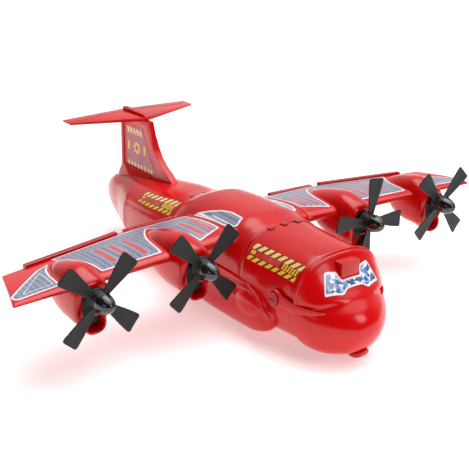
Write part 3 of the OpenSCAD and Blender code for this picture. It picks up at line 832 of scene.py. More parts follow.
def armPart():  # a round boss on the pivot and a bar that runs forward and melts into the canopy edge
    px, pz = armLook["pivot"]
    inner, outer = armLook["innerY"], armLook["outerY"]
    boss = lathe([(0, 3.1), (0, 8.3), (0.3, 8.6), (2.4, 8.6), (3.2, 8.3), (3.5, 7.7), (3.3, 7.0),
                  (2.5, 6.6), (2.4, 4.2), (3.0, 3.9),
                  (3.1, 3.1)], (px, inner, pz), "y", 64)
    rings = []
    for x in stretches(px + 3, armLook["endX"], 1.2):
        s = (x - px) / (armLook["endX"] - px)
        high = np.interp(s, [0, 0.15, 0.5, 0.8, 1], [6.4, 5.6, 4.0, 2.8, 0.8])
        middle = np.interp(s, [0, 0.5, 0.8, 1], [-27.0, -27.6, -28.6, -28.2])
        if x < 61.4:
            low, far = inner, outer
        else:
            skin = halfWidthAt(visorAt, x, middle) - 1.4 * min((x - 61.4) / 8, 1)
            low, far = skin - 0.9, skin + np.interp(x, [61.4, 72, 80, 85], [2.6, 2.4, 1.8, 0.3])
        rings.append([(x, y, z) for y, z in superLoop(low, far, middle - high, middle + high)])
    return together(boss, loft(rings))


def lipPart():  # the finger lip under the chin
    stations = [(85.5, 2.0, -73.0, 0.8), (86, 5.0, -73.6, 1.8), (88, 7.0, -73.4, 2.7),
                (92, 7.6, -72.8, 3.4), (96, 7.2, -72.0, 3.9),
                (100, 6.2, -69.8, 3.7), (102.6, 4.6, -67.6, 3.0), (103.8, 2.6, -66.4, 1.6),
                (104, 0.8, -66.2, 0.6)]
    rings = []
    for x, w, z, h in stations:
        rings.append([(x, y, v) for y, v in superLoop(-w, w, z - h, z + h, 2.6)])
    return loft(rings)


for side, flip in (("left", False), ("right", True)):
    part = armPart()
    piece = objectFrom("cheek_arm_" + side, *(mirrored(part) if flip else part))
    finishPiece(piece, "nose_visor_body", [redShell], ["visor_arm_" + side], 50)
lip = objectFrom("chin_lip", *lipPart())
lip.modifiers.new("smooth", "SUBSURF").levels = 2
finishPiece(bakeModifiers(lip), "nose_visor_body", [redShell], ["visor_lip"], 60)
roundedCopy("roof_block", "brow_block", "nose_visor_body", redShell, 0.5)
roundedCopy("pivot_pins", "pivot_caps", "airframe", deepRed, 0.4)
print("nose ready")

# Wings

chordMarks = [0, 0.0015, 0.006, 0.014, 0.026, 0.045, 0.07, 0.11, 0.16, 0.22, 0.29, 0.36, 0.44, 0.52, 0.6,
              0.68, 0.76, 0.84, 0.91, 0.96, 0.985, 1]


def wingHalf(upper):
    stations = [(46.3, 0.6), (46.5, 0.9)] + [(y, 1.0) for y in stretches(47, 110, 8)] + [(y, 1.0)
        for y in stretches(114, 268, 8)]
    stations += [(269.1, 0.95), (269.7, 0.82), (270.0, 0.6)]
    rings = []
    for y, swell in stations:
        lead, trail, thick, mid, slant = wingRow(y)
        pull = (1 - swell) * 1.6
        share = 0.6 if upper else -0.4
        base = mid + (0.0 if upper else -0.3)
        ring = []
        for t in chordMarks:
            x = (lead - pull) + (trail - lead + 2 * pull) * t
            ring.append((x, y - slant * t, base + share * thick * foil(t) * swell))
        for t in (0.75, 0.5, 0.25):  # the flat parting face closes the section
            ring.append((lead + (trail - lead) * t, y - slant * t, base))
        rings.append(ring)
    part = loft(rings)
    return part if upper else (part[0], [tuple(reversed(f)) for f in part[1]])


for side, flip in (("left", False), ("right", True)):
    for upper, node in ((True, "wing_top_"), (False, "wing_under_")):
        part = wingHalf(upper)
        piece = objectFrom(node.replace("wing", "panel") + side, *(mirrored(part) if flip else part))
        finishPiece(piece, "airframe", [redShell], [node + side], 40)
    roundedCopy("flaps_" + side, "flap_strips_" + side, "airframe", deepRed, 0.5)
roundedCopy("wing_spar", "spar_bar", "airframe", innerGrey, 0.4)

# Engines

engines = {"left_inner": (100.0, 0.0, 173), "left_outer": (203.7, -2.6, 133),
           "right_inner": (-100.0, 0.0, 134), "right_outer": (-203.7, -2.6, 137)}
bladeLook = {"blades": 4, "pitch": 5.0, "radius": 44.0, "thick": 1.6, "corner": 2.4, "camber": 0.4}


def nacelleMesh(stretch):
    table = [((-20 + (row[0] + 20) * stretch) if row[0] < -20 else row[0],) + row[1:] for row in nacelleTable]
    bodyAt = smoothTable(table)
    chinAt = smoothTable(chinTable)
    tail = table[0][0]
    outer = [ringAt(bodyAt, tail - 0.9, 4.6, 72), ringAt(bodyAt, tail - 0.7, 2.4, 72),
             ringAt(bodyAt, tail - 0.35, 0.8, 72)]
    outer += [ringAt(bodyAt, x, 0, 72) for x in stretches(tail, -14, 1.6)]
    # a broad rolled lip
    outer += [ringAt(bodyAt, -14 + 4 * math.sin(a), 4.2 * (1 - math.cos(a)), 72) for a in np.linspace(0.15,
        math.pi / 2, 9)]
    shell = objectFrom("nacelle", *loft(outer))
    chin = [ringAt(chinAt, -46.4, 3.5, 72), ringAt(chinAt, -46.2, 1.5, 72)] + [ringAt(chinAt, x, 0, 72)
        for x in stretches(-46, -9, 1.6)]
    chin += [ringAt(chinAt, -8.5, 0.15, 72), ringAt(chinAt, -8.15, 0.5, 72), ringAt(chinAt, -8, 1.0, 72)]
    hollow = [ringAt(bodyAt, x, 2.2, 72) for x in stretches(-60, -15.0, 4)]
    hollow += [ringAt(bodyAt, -14.2, 3.4, 72), ringAt(bodyAt, -13.0, 5.2, 72),
               ringAt(bodyAt, -10.8, 5.4, 72), ringAt(bodyAt, -10.3, 5.0, 72),
               ringAt(bodyAt, -9.2, 4.0, 72)]
    scoop = [ringAt(chinAt, x, 2.0, 72) for x in (-20, -15, -9.2)] + [ringAt(chinAt, -8.6, 1.8, 72),
        ringAt(chinAt, -8.2, 1.4, 72), ringAt(chinAt, -7.2, 0.8, 72)]
    cutWith(shell, [objectFrom("chin", *loft(chin))], "UNION")
    cutWith(shell, [objectFrom("hollow", *loft(hollow)), objectFrom("scoop", *loft(scoop))])
    mesh = shell.data
    bpy.data.objects.remove(shell, do_unlink=True)
    return mesh


nacelleMeshes = {"outer": nacelleMesh(1.0), "inner": nacelleMesh(1.17)}
for name, (y, z, _) in engines.items():
    mesh = nacelleMeshes[name.split("_")[1]].copy()
    mesh.transform(Matrix.Translation((0, y * 0.001, z * 0.001)))
    pod = linked("pod_" + name, mesh)
    finishPiece(pod, "airframe", [redShell], ["nacelle_" + name], 42, weld=False)
# The back plates in the nacelle mouths take the blade black: partly their own dark colour, partly painted
# shade standing for the shadowed recess round each hub.
roundedCopy("engine_plates", "bulkheads", "airframe", bladeBlack, 0.3)
roundedCopy("prop_shafts", "shafts", "airframe", shaftSteel, 0.15)
print("wings and nacelles ready")


def bladePart():  # one paddle along +Y in metres about the hub, slightly cambered, with rounded corners
    pitch = math.radians(90 - bladeLook["pitch"])
    chordDir = np.array([math.cos(pitch), 0, -math.sin(pitch)])
    thickDir = np.array([-math.sin(pitch), 0, -math.cos(pitch)])
    reachMarks = [4.5, 7, 10, 14, 18, 22, 26, 30, 34, 38, 40, 41.4]
    corner = bladeLook["corner"]
    reachMarks += [bladeLook["radius"] - corner * (1 - math.sin(a)) for a in np.linspace(0, math.pi / 2, 7)]
    rings = []
    for r in reachMarks:
        half = np.interp(r, [4.5, 8, 14, 30, 40, 44], [2.7, 3.0, 4.2, 7.3, 8.7, 8.8])
        into = max(r - (bladeLook["radius"] - corner), 0)
        half -= corner - math.sqrt(max(corner ** 2 - into ** 2, 0))
        thick = bladeLook["thick"] / 2 * np.interp(r, [4.5, 12, 44], [1.5, 1.0, 0.85])
        edge = math.sqrt(max(1 - (max(r - 43.2, 0) / 0.85) ** 2, 0.12))
        upper, lower = [], []
        for u in (-1, -0.985, -0.95, -0.88, -0.6, -0.3, 0, 0.3, 0.6, 0.88, 0.95, 0.985, 1):
            lift = bladeLook["camber"] * (1 - u * u)
            rounding = math.sqrt(max(1 - max((abs(u) - 0.88) / 0.12, 0) ** 2, 0))
            t = thick * edge * max(rounding, 0.04)
            upper.append(chordDir * half * u + thickDir * (lift + t) + np.array([0, r, 0]))
            lower.append(chordDir * half * u + thickDir * (lift - t) + np.array([0, r, 0]))
        rings.append(upper + lower[::-1])
    points, faces = loft(rings)
    return [tuple(np.array(p) * 0.001) for p in points], faces


def bladeTree():
    tree, given, result = newTree("blades round a hub", [("Blades", "NodeSocketInt"),
        ("Start angle", "NodeSocketFloat"), ("Finish", "NodeSocketMaterial")])
    spots = addNode(tree, "GeometryNodeMeshLine", {"Count": given.outputs["Blades"],
        "Offset": (0.0, 0.0, 0.0)}, mode="OFFSET")
    index = addNode(tree, "GeometryNodeInputIndex")
    share = addNode(tree, "ShaderNodeMath", {0: index.outputs[0], 1: given.outputs["Blades"]},
                    operation="DIVIDE")
    turn = addNode(tree, "ShaderNodeMath", {0: share.outputs[0], 1: 2 * math.pi,
                                            2: given.outputs["Start angle"]}, operation="MULTIPLY_ADD")
    angle = addNode(tree, "ShaderNodeCombineXYZ", {"X": turn.outputs[0]})
    copies = addNode(tree, "GeometryNodeInstanceOnPoints", {"Points": spots.outputs[0],
        "Instance": given.outputs["Geometry"], "Rotation": angle.outputs[0]})
    return endTree(tree, given, result, copies.outputs[0])


hubProfile = [(-6, 1.6), (-6, 9.1), (-5.6, 9.6), (-3.9, 9.7), (-3.4, 9.3), (-3.0, 8.6), (-1, 8.3),
              (4.2, 8.2), (4.8, 7.8), (5, 7.3), (5, 1.6)]
spinnerCurve = [(5, 0), (5, 8.5), (5.15, 8.75)] + [(5 + 13.6 * u, 8.8 * math.sqrt(max(1 - u ** 1.8, 0)))
    for u in (0.03, 0.08, 0.15, 0.23, 0.32, 0.42, 0.52, 0.62, 0.71, 0.8, 0.87, 0.93, 0.97, 0.99)] + [(18.6,
        0)]
turning = bladeTree()
for name, (y, z, phase) in engines.items():
    blades = runTree(turning, bladePart(), {"Blades": bladeLook["blades"],
                                            "Start angle": math.radians(phase), "Finish": bladeBlack})
    blades.transform(Matrix.Translation(Vector(datum) + Vector((0, y, z)) * 0.001))
    prop = linked("blades_" + name, blades)
    joinObjects(prop, [objectFrom("hub", *lathe(hubProfile, (0, y, z), "x", 72))])
    finishPiece(prop, "propeller_" + name, [bladeBlack], ["prop_" + name], 40)
    cone = objectFrom("nose_cone_" + name, *lathe(spinnerCurve, (0, y, z), "x", 72))
    finishPiece(cone, "propeller_" + name, [spinnerBlack], ["spinner_" + name], 45)
print("propellers ready")

# Fairings, tail and wheels

ridgeLine = [(-60, -24.6), (-46, -24.8), (-20, -25.8), (0, -28.2), (14, -33.5), (24, -41.0), (30, -49.0),
             (32, -55.0)]


def ridgeZ(x):
    return np.interp(x, [p[0] for p in ridgeLine], [p[1] for p in ridgeLine])


def fairingPart():  # the outer face sinks a little inside its ridge
    rings = []
    for x in [-125.4] + stretches(-125, 33, 1.6) + [33.3]:
        inset = 1.8 if x in (-125.4, 33.3) else 0.0
        ring = ringAt(fairingAt, x, inset, 110)
        ring[:, 1] += 44
        reach = min(max((x + 60) / 25, 0), 1) * min(max((33 - x) / 6, 0), 1)
        for p in ring:
            if p[1] > 48:
                below = ridgeZ(p[0]) - p[2]
                dip = reach * 1.7 * math.exp(-((below - 9) / 6.5) ** 2)
                p[1] -= dip * min((p[1] - 48) / 6, 1)
            outward = p[1] > 44
            p[1] = max(p[1], halfWidthAt(hullAt, min(p[0], 60), p[2]) + (0.08 if outward else 0.03))
        rings.append(ring)
    return loft(rings)


def ridgePart():  # a rounded bead along the ridge
    path = evenly(np.array(ridgeLine, float), 44, closed=False)
    rings = []
    for i, (x, z) in enumerate(path):
        before, after = path[max(i - 1, 0)], path[min(i + 1, len(path) - 1)]
        along = np.array([after[0] - before[0], 0, after[1] - before[1]])
        along /= np.linalg.norm(along)
        side = np.array([0, 1.0, 0])
        upward = np.cross(along, side)
        ends = math.sin(math.pi * min(i / 6, 1) / 2)
        ends *= math.sin(math.pi * min((len(path) - 1 - i) / 4, 1) / 2)
        taper = max(ends, 0.15)
        y = max(44 + halfWidthAt(fairingAt, x, z - 1.2) - 1.0, halfWidthAt(hullAt, x, z) + 0.2)
        spot = np.array([x, y, z])
        rings.append([tuple(spot + (side * math.cos(a) * 1.9 + upward * math.sin(a) * 1.5) * taper)
                      for a in np.linspace(0, 2 * math.pi, 17)[:-1]])
    return loft(rings)


def teardropPart():  # the raised blister on the front of each fairing
    rings = []
    for v in np.linspace(0, math.pi, 28):
        x = 4 + 19 * math.cos(v)
        r = math.sin(v) ** 0.8
        ring = []
        for k in range(40):
            a = 2 * math.pi * k / 40
            c, s = math.cos(a), math.sin(a)
            ring.append((x, 52 + 6.4 * max(r, 0.02) * math.copysign(abs(c) ** 0.9, c),
                         -46 + 12.5 * max(r, 0.02) * s))
        rings.append(ring)
    return loft(rings)


for side, flip in (("left", False), ("right", True)):
    part = together(fairingPart(), ridgePart(), teardropPart())
    piece = objectFrom("wheel_fairing_" + side, *(mirrored(part) if flip else part))
    finishPiece(piece, "airframe", [redShell], ["fairing_" + side], 45)

roundedCopy("tail_fin", "fin_panel", "airframe", redShell, 0.5, 40)
roundedCopy("tailplane", "tail_wing", "airframe", redShell, 0.7)
beadLook = {"rootX": -283.6, "tipX": -279.6, "rootY": 7, "tipY": 70, "top": 64.0, "fall": 1.42, "fallY": 77.5,
            "proud": 0.02, "halfWidth": 0.55, "halfHeight": 0.35}


def elevatorBead(side):  # a raised line where the elevator meets the tailplane
    look = beadLook
    rings = []
    for k in range(9):
        t = k / 8
        y = look["rootY"] + (look["tipY"] - look["rootY"]) * t
        x = look["rootX"] + (look["tipX"] - look["rootX"]) * t
        high = look["top"] - look["fall"] * y / look["fallY"] + look["proud"]
        rings.append([(x + look["halfWidth"] * math.cos(a), side * y, high + look["halfHeight"] * math.sin(a))
                      for a in np.linspace(0, 2 * math.pi, 13)[:-1]])
    return loft(rings)


beads = objectFrom("elevator_beads", *together(*[elevatorBead(side) for side in (-1, 1)]))
finishPiece(beads, "airframe", [redShell], (), 60)
roundedCopy("tail_ridge", "tail_crest", "airframe", redShell, 0.6)

tyre = [(-3.5, 1.5), (-3.5, 3.0), (-3.2, 3.4), (-2.6, 3.6), (-2.6, 6.2), (-3.3, 6.5), (-3.5, 7.0),
        (-3.5, 8.1), (-3.2, 8.7), (-2.5, 9.0),
        (-1.6, 9.0), (-1.4, 8.75), (-0.9, 8.75), (-0.7, 9.0), (0.7, 9.0), (0.9, 8.75), (1.4, 8.75),
        (1.6, 9.0), (2.5, 9.0), (3.2, 8.7),
        (3.5, 8.1), (3.5, 7.0), (3.3, 6.5), (2.6, 6.2), (2.6, 3.6), (3.2, 3.4), (3.5, 3.0), (3.5, 1.5)]
for node, x, ys, body in (("wheel_nose", 38, (0,), "nose_wheel_set"),
                          ("wheels_front", -28, (-30, 30), "front_wheel_set"),
                          ("wheels_rear", -88, (-30, 30), "rear_wheel_set")):
    spins = [lathe(tyre, (x, y, fuselage["axleZ"]), "y", 56) for y in ys]
    finishPiece(objectFrom(node.replace("wheel", "roller"), *together(*spins)), body, [wheelBlack], [node],
                35)
for node, body in (("axle_nose", "nose_wheel_set"), ("axle_front", "front_wheel_set"),
                   ("axle_rear", "rear_wheel_set")):
    roundedCopy(node, node.replace("axle", "wire"), body, shaftSteel, 0.25)
roundedCopy("ramp_pin", "hinge_wire", "airframe", shaftSteel, 0.2)
roundedCopy("cargo_floor", "deck_plate", "airframe", innerGrey, 0.3)


def scatterTree(name):  # one shape on every point of the incoming mesh
    tree, given, result = newTree(name, [("Shape", "NodeSocketObject"), ("Size", "NodeSocketFloat"),
                                         ("Finish", "NodeSocketMaterial")])
    shape = addNode(tree, "GeometryNodeObjectInfo", {"Object": given.outputs["Shape"]})
    copies = addNode(tree, "GeometryNodeInstanceOnPoints", {"Points": given.outputs["Geometry"],
        "Instance": shape.outputs["Geometry"],
                     "Scale": given.outputs["Size"]})
    return endTree(tree, given, result, copies.outputs[0])


def ribTree():  # rounded bars across the deck, one on every point
    tree, given, result = newTree("deck ribs", [("Length", "NodeSocketFloat"), ("Width", "NodeSocketFloat"),
        ("Height", "NodeSocketFloat"),
                                                ("Finish", "NodeSocketMaterial")])
    size = addNode(tree, "ShaderNodeCombineXYZ", {"X": given.outputs["Width"], "Y": given.outputs["Length"],
        "Z": given.outputs["Height"]})
    bar = addNode(tree, "GeometryNodeMeshCube", {"Size": size.outputs[0], "Vertices X": 3, "Vertices Y": 3,
        "Vertices Z": 3})
    copies = addNode(tree, "GeometryNodeInstanceOnPoints", {"Points": given.outputs["Geometry"],
        "Instance": bar.outputs[0]})
    return endTree(tree, given, result, copies.outputs[0])


def nodePiece(name, mesh, body, material, bevel=0.0, stands=()):
    obj = linked(name, mesh)
    if bevel:
        softenEdges(obj, bevel, 30, 2)
    return finishPiece(obj, body, [material], stands, 35)


def screwShape():  # pan head with a cross recess over its shank
    head = [(0, 0.02), (0, 1.3), (0.1, 2.2), (0.35, 2.75), (0.7, 3.0), (0.9, 3.0), (0.9, 1.25), (10, 1.25),
            (10, 0.02)]
    points, faces = lathe(head, (0, 0, 0), "x", 40)
    points = [(y, z, x) for x, y, z in points]
    shape = objectFrom("screw_shape", points, faces)
    shape.data.transform(Matrix.Translation(-Vector(datum)))
    tidyMesh(shape)
    for a, b in ((2.0, 0.4), (0.4, 2.0)):
        slotCut = objectFrom("slot_cut", *roundedBox((-a, -b, -1), (a, b, 0.5), 0.15))
        slotCut.data.transform(Matrix.Translation(-Vector(datum)))
        cutWith(shape, [slotCut])
    return shape


screw = screwShape()
screwSpots = [tuple(p) for p in place([(x, s * 10, -76.9) for x in (-120, -56, -19) for s in (-1, 1)])]
screws = runTree(scatterTree("screws under the deck posts"), (screwSpots, []),
                 {"Shape": screw, "Size": 1.0, "Finish": shaftSteel})
bpy.data.objects.remove(screw, do_unlink=True)
nodePiece("deck_screws", screws, "airframe", shaftSteel, 0.0, ["belly_screws"])
ribs = ribTree()
deckRibs = {"x0": -176.0, "x1": 48.0, "pitch": 8.0, "long": 56.0, "wide": 1.6, "high": 1.2}
deckSpots = [tuple(p) for p in place([(x, 0, -55.8) for x in np.arange(deckRibs["x0"], deckRibs["x1"],
    deckRibs["pitch"])])]
nodePiece("deck_treads", runTree(ribs, (deckSpots, []), {"Length": deckRibs["long"] * 0.001,
    "Width": deckRibs["wide"] * 0.001,
          "Height": deckRibs["high"] * 0.001, "Finish": innerGrey}), "airframe", innerGrey, 0.3)
rampSpots = [tuple(p) for p in place([(x, 0, hullAt(x)[2] + 2.3) for x in range(-220, -284, -9)])]
nodePiece("ramp_treads", runTree(ribs, (rampSpots, []), {"Length": 0.018, "Width": 0.0018, "Height": 0.0016,
    "Finish": redShell}),
          "ramp_body", redShell, 0.3)
print("tail and undercarriage ready")

# Printed stickers

filmThick = 0.08

def insetOutline(outline, d):  # corners moved inwards by d; the outline runs anticlockwise
    result = []
    n = len(outline)
    for i in range(n):
        a, b, c = (Vector(outline[k % n]) for k in (i - 1, i, i + 1))
        u, v = (b - a).normalized(), (c - b).normalized()
        nu, nv = Vector((-u.y, u.x)), Vector((-v.y, v.x))
        lean = nu + nv
        result.append(tuple(b + lean * (d / max(lean.dot(nu), 0.35))))
    return result


def roundOutline(outline, radius, steps=5):
    result = []
    n = len(outline)
    for i in range(n):
        a, b, c = (Vector(outline[k % n]) for k in (i - 1, i, i + 1))
        reach = min(radius, (a - b).length * 0.45, (c - b).length * 0.45)
        start, end = b + (a - b).normalized() * reach, b + (c - b).normalized() * reach
        for k in range(steps + 1):
            t = k / steps
            result.append(tuple(start * (1 - t) ** 2 + b * 2 * t * (1 - t) + end * t * t))
    return result


def anticlockwise(outline):
    area = sum(a[0] * b[1] - b[0] * a[1] for a, b in zip(outline, outline[1:] + outline[:1]))
    return outline if area > 0 else outline[::-1]


def closedFilm(top, low, faces):  # two skins of the same faces, walled along the open edges
    count = len(top)
    faces = [tuple(f) for f in faces]
    used = dict.fromkeys((a, b) for f in faces for a, b in zip(f, f[1:] + f[:1]))
    walls = [(b, a, a + count, b + count) for a, b in used if (b, a) not in used]
    return top + low, faces + [tuple(i + count for i in reversed(f)) for f in faces] + walls


def filmPart(outline, mapping, height, step=3.0):  # a thin closed film laid on a surface
    outline = anticlockwise([tuple(p) for p in outline])
    dense = []
    for a, b in zip(outline, outline[1:] + outline[:1]):
        a, b = Vector(a), Vector(b)
        pieces = max(int((b - a).length / step), 1)
        dense += [tuple(a.lerp(b, k / pieces)) for k in range(pieces)]
    xs, ys = [p[0] for p in dense], [p[1] for p in dense]
    inner = [(x, y) for x in np.arange(min(xs) + step * 0.5, max(xs), step)
             for y in np.arange(min(ys) + step * 0.5, max(ys), step)]
    n = len(dense)
    spots, _, faces, _, _, _ = delaunay_2d_cdt([Vector(p) for p in dense + inner], [], [list(range(n))],
        2, 1e-5)
    top = [mapping(p[0], p[1], height) for p in spots]
    low = [mapping(p[0], p[1], height - filmThick) for p in spots]
    return closedFilm(top, low, faces)


def onSurface(spot, du, dv, height, outward):
    normal = np.cross(np.array(du) - np.array(spot), np.array(dv) - np.array(spot))
    normal = normal / max(np.linalg.norm(normal), 1e-9)
    if np.dot(normal, outward) < 0:
        normal = -normal
    return tuple(np.array(spot) + normal * height)


def sideOf(table, side):  # (x, z) on the side of a shell
    def mapping(x, z, height):
        def at(u, v):
            return (u, side * halfWidthAt(table, u, v), v)
        return onSurface(at(x, z), at(x + 0.2, z), at(x, z + 0.2), height, (0, side, 0.3))
    return mapping


def crownOf(table):  # (x, y) on the top of a shell
    def at(x, y):
        w, top, bottom, n = table(x)
        u = min(abs(y) / w, 0.999)
        return (x, y, (top + bottom) / 2 + (top - bottom) / 2 * (1 - u ** n) ** (1 / n))

    def mapping(x, y, height):
        return onSurface(at(x, y), at(x + 0.2, y), at(x, y + 0.2), height, (0.3, 0, 1))
    return mapping


def wingTopAt(x, y):
    ring = abs(y)
    for _ in range(6):
        lead, trail, thick, mid, slant = wingRow(ring)
        t = min(max((lead - x) / (lead - trail), 0.0), 1.0)
        ring = abs(y) + slant * t
    return mid + 0.6 * thick * foil(t)


def wingOf(side):
    def mapping(x, y, height):
        def at(u, v):
            return (u, side * v, wingTopAt(u, v))
        return onSurface(at(x, y), at(x + 0.3, y), at(x, y + 0.3), height, (0, 0, 1))
    return mapping


coverCache = {}


def coverTopAt(x, y):
    key = round(x * 2)
    if key not in coverCache:
        half = coverHalf(key / 2, 0.0)
        coverCache[key] = half[np.argsort(half[:, 0])]
        keep = coverCache[key][:, 1] > 2
        coverCache[key] = coverCache[key][keep]
    rows = coverCache[key]
    return float(np.interp(abs(y), rows[:, 0], rows[:, 1]))


def coverOf(side):
    def mapping(x, y, height):
        def at(u, v):
            return (u, side * v, coverTopAt(u, v))
        return onSurface(at(x, y), at(x + 1.0, y), at(x, y + 0.6), height, (0, 0, 1))
    return mapping


def finOf(side):
    return lambda x, z, height: (x, side * (3.0 + height), z)


def sticker(name, body, mapping, layers):  # layers are (outline, height, material)
    materials, points, faces, owner = [], [], [], []
    for outline, height, material in layers:
        part = filmPart(outline, mapping, height)
        if material not in materials:
            materials.append(material)
        faces += [tuple(i + len(points) for i in f) for f in part[1]]
        points += part[0]
        owner += [materials.index(material)] * len(part[1])
    obj = objectFrom(name, points, faces)
    for m in materials:
        obj.data.materials.append(m)
    obj.data.polygons.foreach_set("material_index", owner)
    tidyMesh(obj)
    finishPiece(obj, body, [], (), 50, weld=False)
    return obj


def stripeTree():
    tree, given, result = newTree("slanted stripes", [("Count", "NodeSocketInt"),
        ("Pitch", "NodeSocketFloat"), ("Width", "NodeSocketFloat"),
                                                      ("Tall", "NodeSocketFloat"),
                                                      ("Lean", "NodeSocketFloat"),
                                                      ("Finish", "NodeSocketMaterial")])
    bar = addNode(tree, "GeometryNodeMeshGrid", {"Size X": given.outputs["Width"],
        "Size Y": given.outputs["Tall"], "Vertices X": 4, "Vertices Y": 5})
    where = addNode(tree, "ShaderNodeSeparateXYZ", {0: addNode(tree, "GeometryNodeInputPosition").outputs[0]})
    shear = addNode(tree, "ShaderNodeMath", {0: where.outputs["Y"], 1: given.outputs["Lean"]},
                    operation="MULTIPLY")
    push = addNode(tree, "ShaderNodeCombineXYZ", {"X": shear.outputs[0]})
    leaning = addNode(tree, "GeometryNodeSetPosition", {"Geometry": bar.outputs[0],
        "Offset": push.outputs[0]})
    spacing = addNode(tree, "ShaderNodeCombineXYZ", {"X": given.outputs["Pitch"]})
    line = addNode(tree, "GeometryNodeMeshLine", {"Count": given.outputs["Count"],
        "Offset": spacing.outputs[0]}, mode="OFFSET")
    copies = addNode(tree, "GeometryNodeInstanceOnPoints", {"Points": line.outputs[0],
        "Instance": leaning.outputs[0]})
    return endTree(tree, given, result, copies.outputs[0])


stripes = stripeTree()


# flat stripes from the nodes, laid on the surface through corner()
def stripeRow(mapping, corner, row, height, material):
    flat = runTree(stripes, ([(0, 0, 0)], []), {"Count": row["count"], "Pitch": row["pitch"],
        "Width": row["width"], "Tall": row["tall"],
                                               "Lean": row["lean"], "Finish": material})
    top, low = [], []
    for v in flat.vertices:
        a = min(max(v.co.x + row["start"], row["from"]), row["to"])
        u, w = corner(a, v.co.y + row["middle"])
        top.append(mapping(u, w, height))
        low.append(mapping(u, w, height - filmThick))
    return closedFilm(top, low, [p.vertices for p in flat.polygons])


hazardLook = {"long": 62.0, "tall": 18.0, "stripes": 8, "pitch": 8.2, "width": 5.0, "lean": 0.75,
              "rowTall": 5.2}


def hazardSticker(name, mapping, corners, body="airframe"):
    topLeft, topRight, lowRight, lowLeft = (np.array(c, float) for c in corners)
    long, tall = hazardLook["long"], hazardLook["tall"]

    def corner(a, b):  # a along, b up, in sticker millimetres
        s, t = a / long, b / tall
        return tuple((lowLeft * (1 - s) + lowRight * s) * (1 - t) + (topLeft * (1 - s) + topRight * s) * t)

    def patch(a0, b0, a1, b1, radius=0.6):
        box = roundOutline([(a0, b0), (a1, b0), (a1, b1), (a0, b1)], radius, 3)
        return [corner(a, b) for a, b in box]

    layers = [(patch(0, 0, long, tall, 1.5), 0.12, darkFilm), (patch(8.5, 6.4, 38, 11.8), 0.16, redFilm)]
    for k in range(6):
        layers.append((patch(41 + 3.3 * k, 6.6 - 0.2 * (k % 2), 43.1 + 3.3 * k, 11.9, 0.4), 0.16, yellowFilm))
    layers += [(patch(1.8, 7.4, 4.0, 11.4, 0.5), 0.16, yellowFilm),
               (patch(4.7, 7.4, 6.9, 11.4, 0.5), 0.16, yellowFilm)]
    sticker(name, body, mapping, layers)
    row = {"count": hazardLook["stripes"], "pitch": hazardLook["pitch"], "width": hazardLook["width"],
           "tall": hazardLook["rowTall"],
           "lean": hazardLook["lean"], "from": 0.8, "to": long - 0.8, "start": 3.0}
    for middle, film, label in ((tall - 3.1, creamFilm, "_upper_stripes"),
                                (3.1, yellowFilm, "_lower_stripes")):
        part = stripeRow(mapping, corner, dict(row, middle=middle), 0.17, film)
        piece = objectFrom(name + label, *part)
        finishPiece(piece, body, [film], (), 50)


for side, sign in (("right", -1), ("left", 1)):
    hazardSticker("front_hazard_" + side, sideOf(hullAt, sign),
                  [(-8, 7.0), (57, 5.8), (54.5, -8.2), (-8.5, -6.6)])
    hazardSticker("rear_hazard_" + side, sideOf(hullAt, sign), [(-202, -2.6), (-138, 4.6), (-141, -8.2),
        (-207, -13.2)])

# Cockpit glass: one white film with blue panes, notched round the brow block
glassHalf = [(70.6, 25.0), (73.2, 13.6), (78.4, 10.9)]
glassLow = [(84.0, 9.0), (86.4, 14.5), (80.3, 31.5)]
glassOutline = glassHalf + [(x, -y) for x, y in reversed(glassHalf)] + [(x, -y) for x,
    y in reversed(glassLow)] + glassLow
glassOutline = anticlockwise(glassOutline)


glassLayers = [(roundOutline(glassOutline, 1.6, 4), 0.14, whiteFilm),
               (roundOutline(insetOutline(glassOutline, 1.2), 1.2, 4), 0.18, glassFilm)]
sticker("cockpit_glass", "nose_visor_body", crownOf(visorAt), glassLayers)

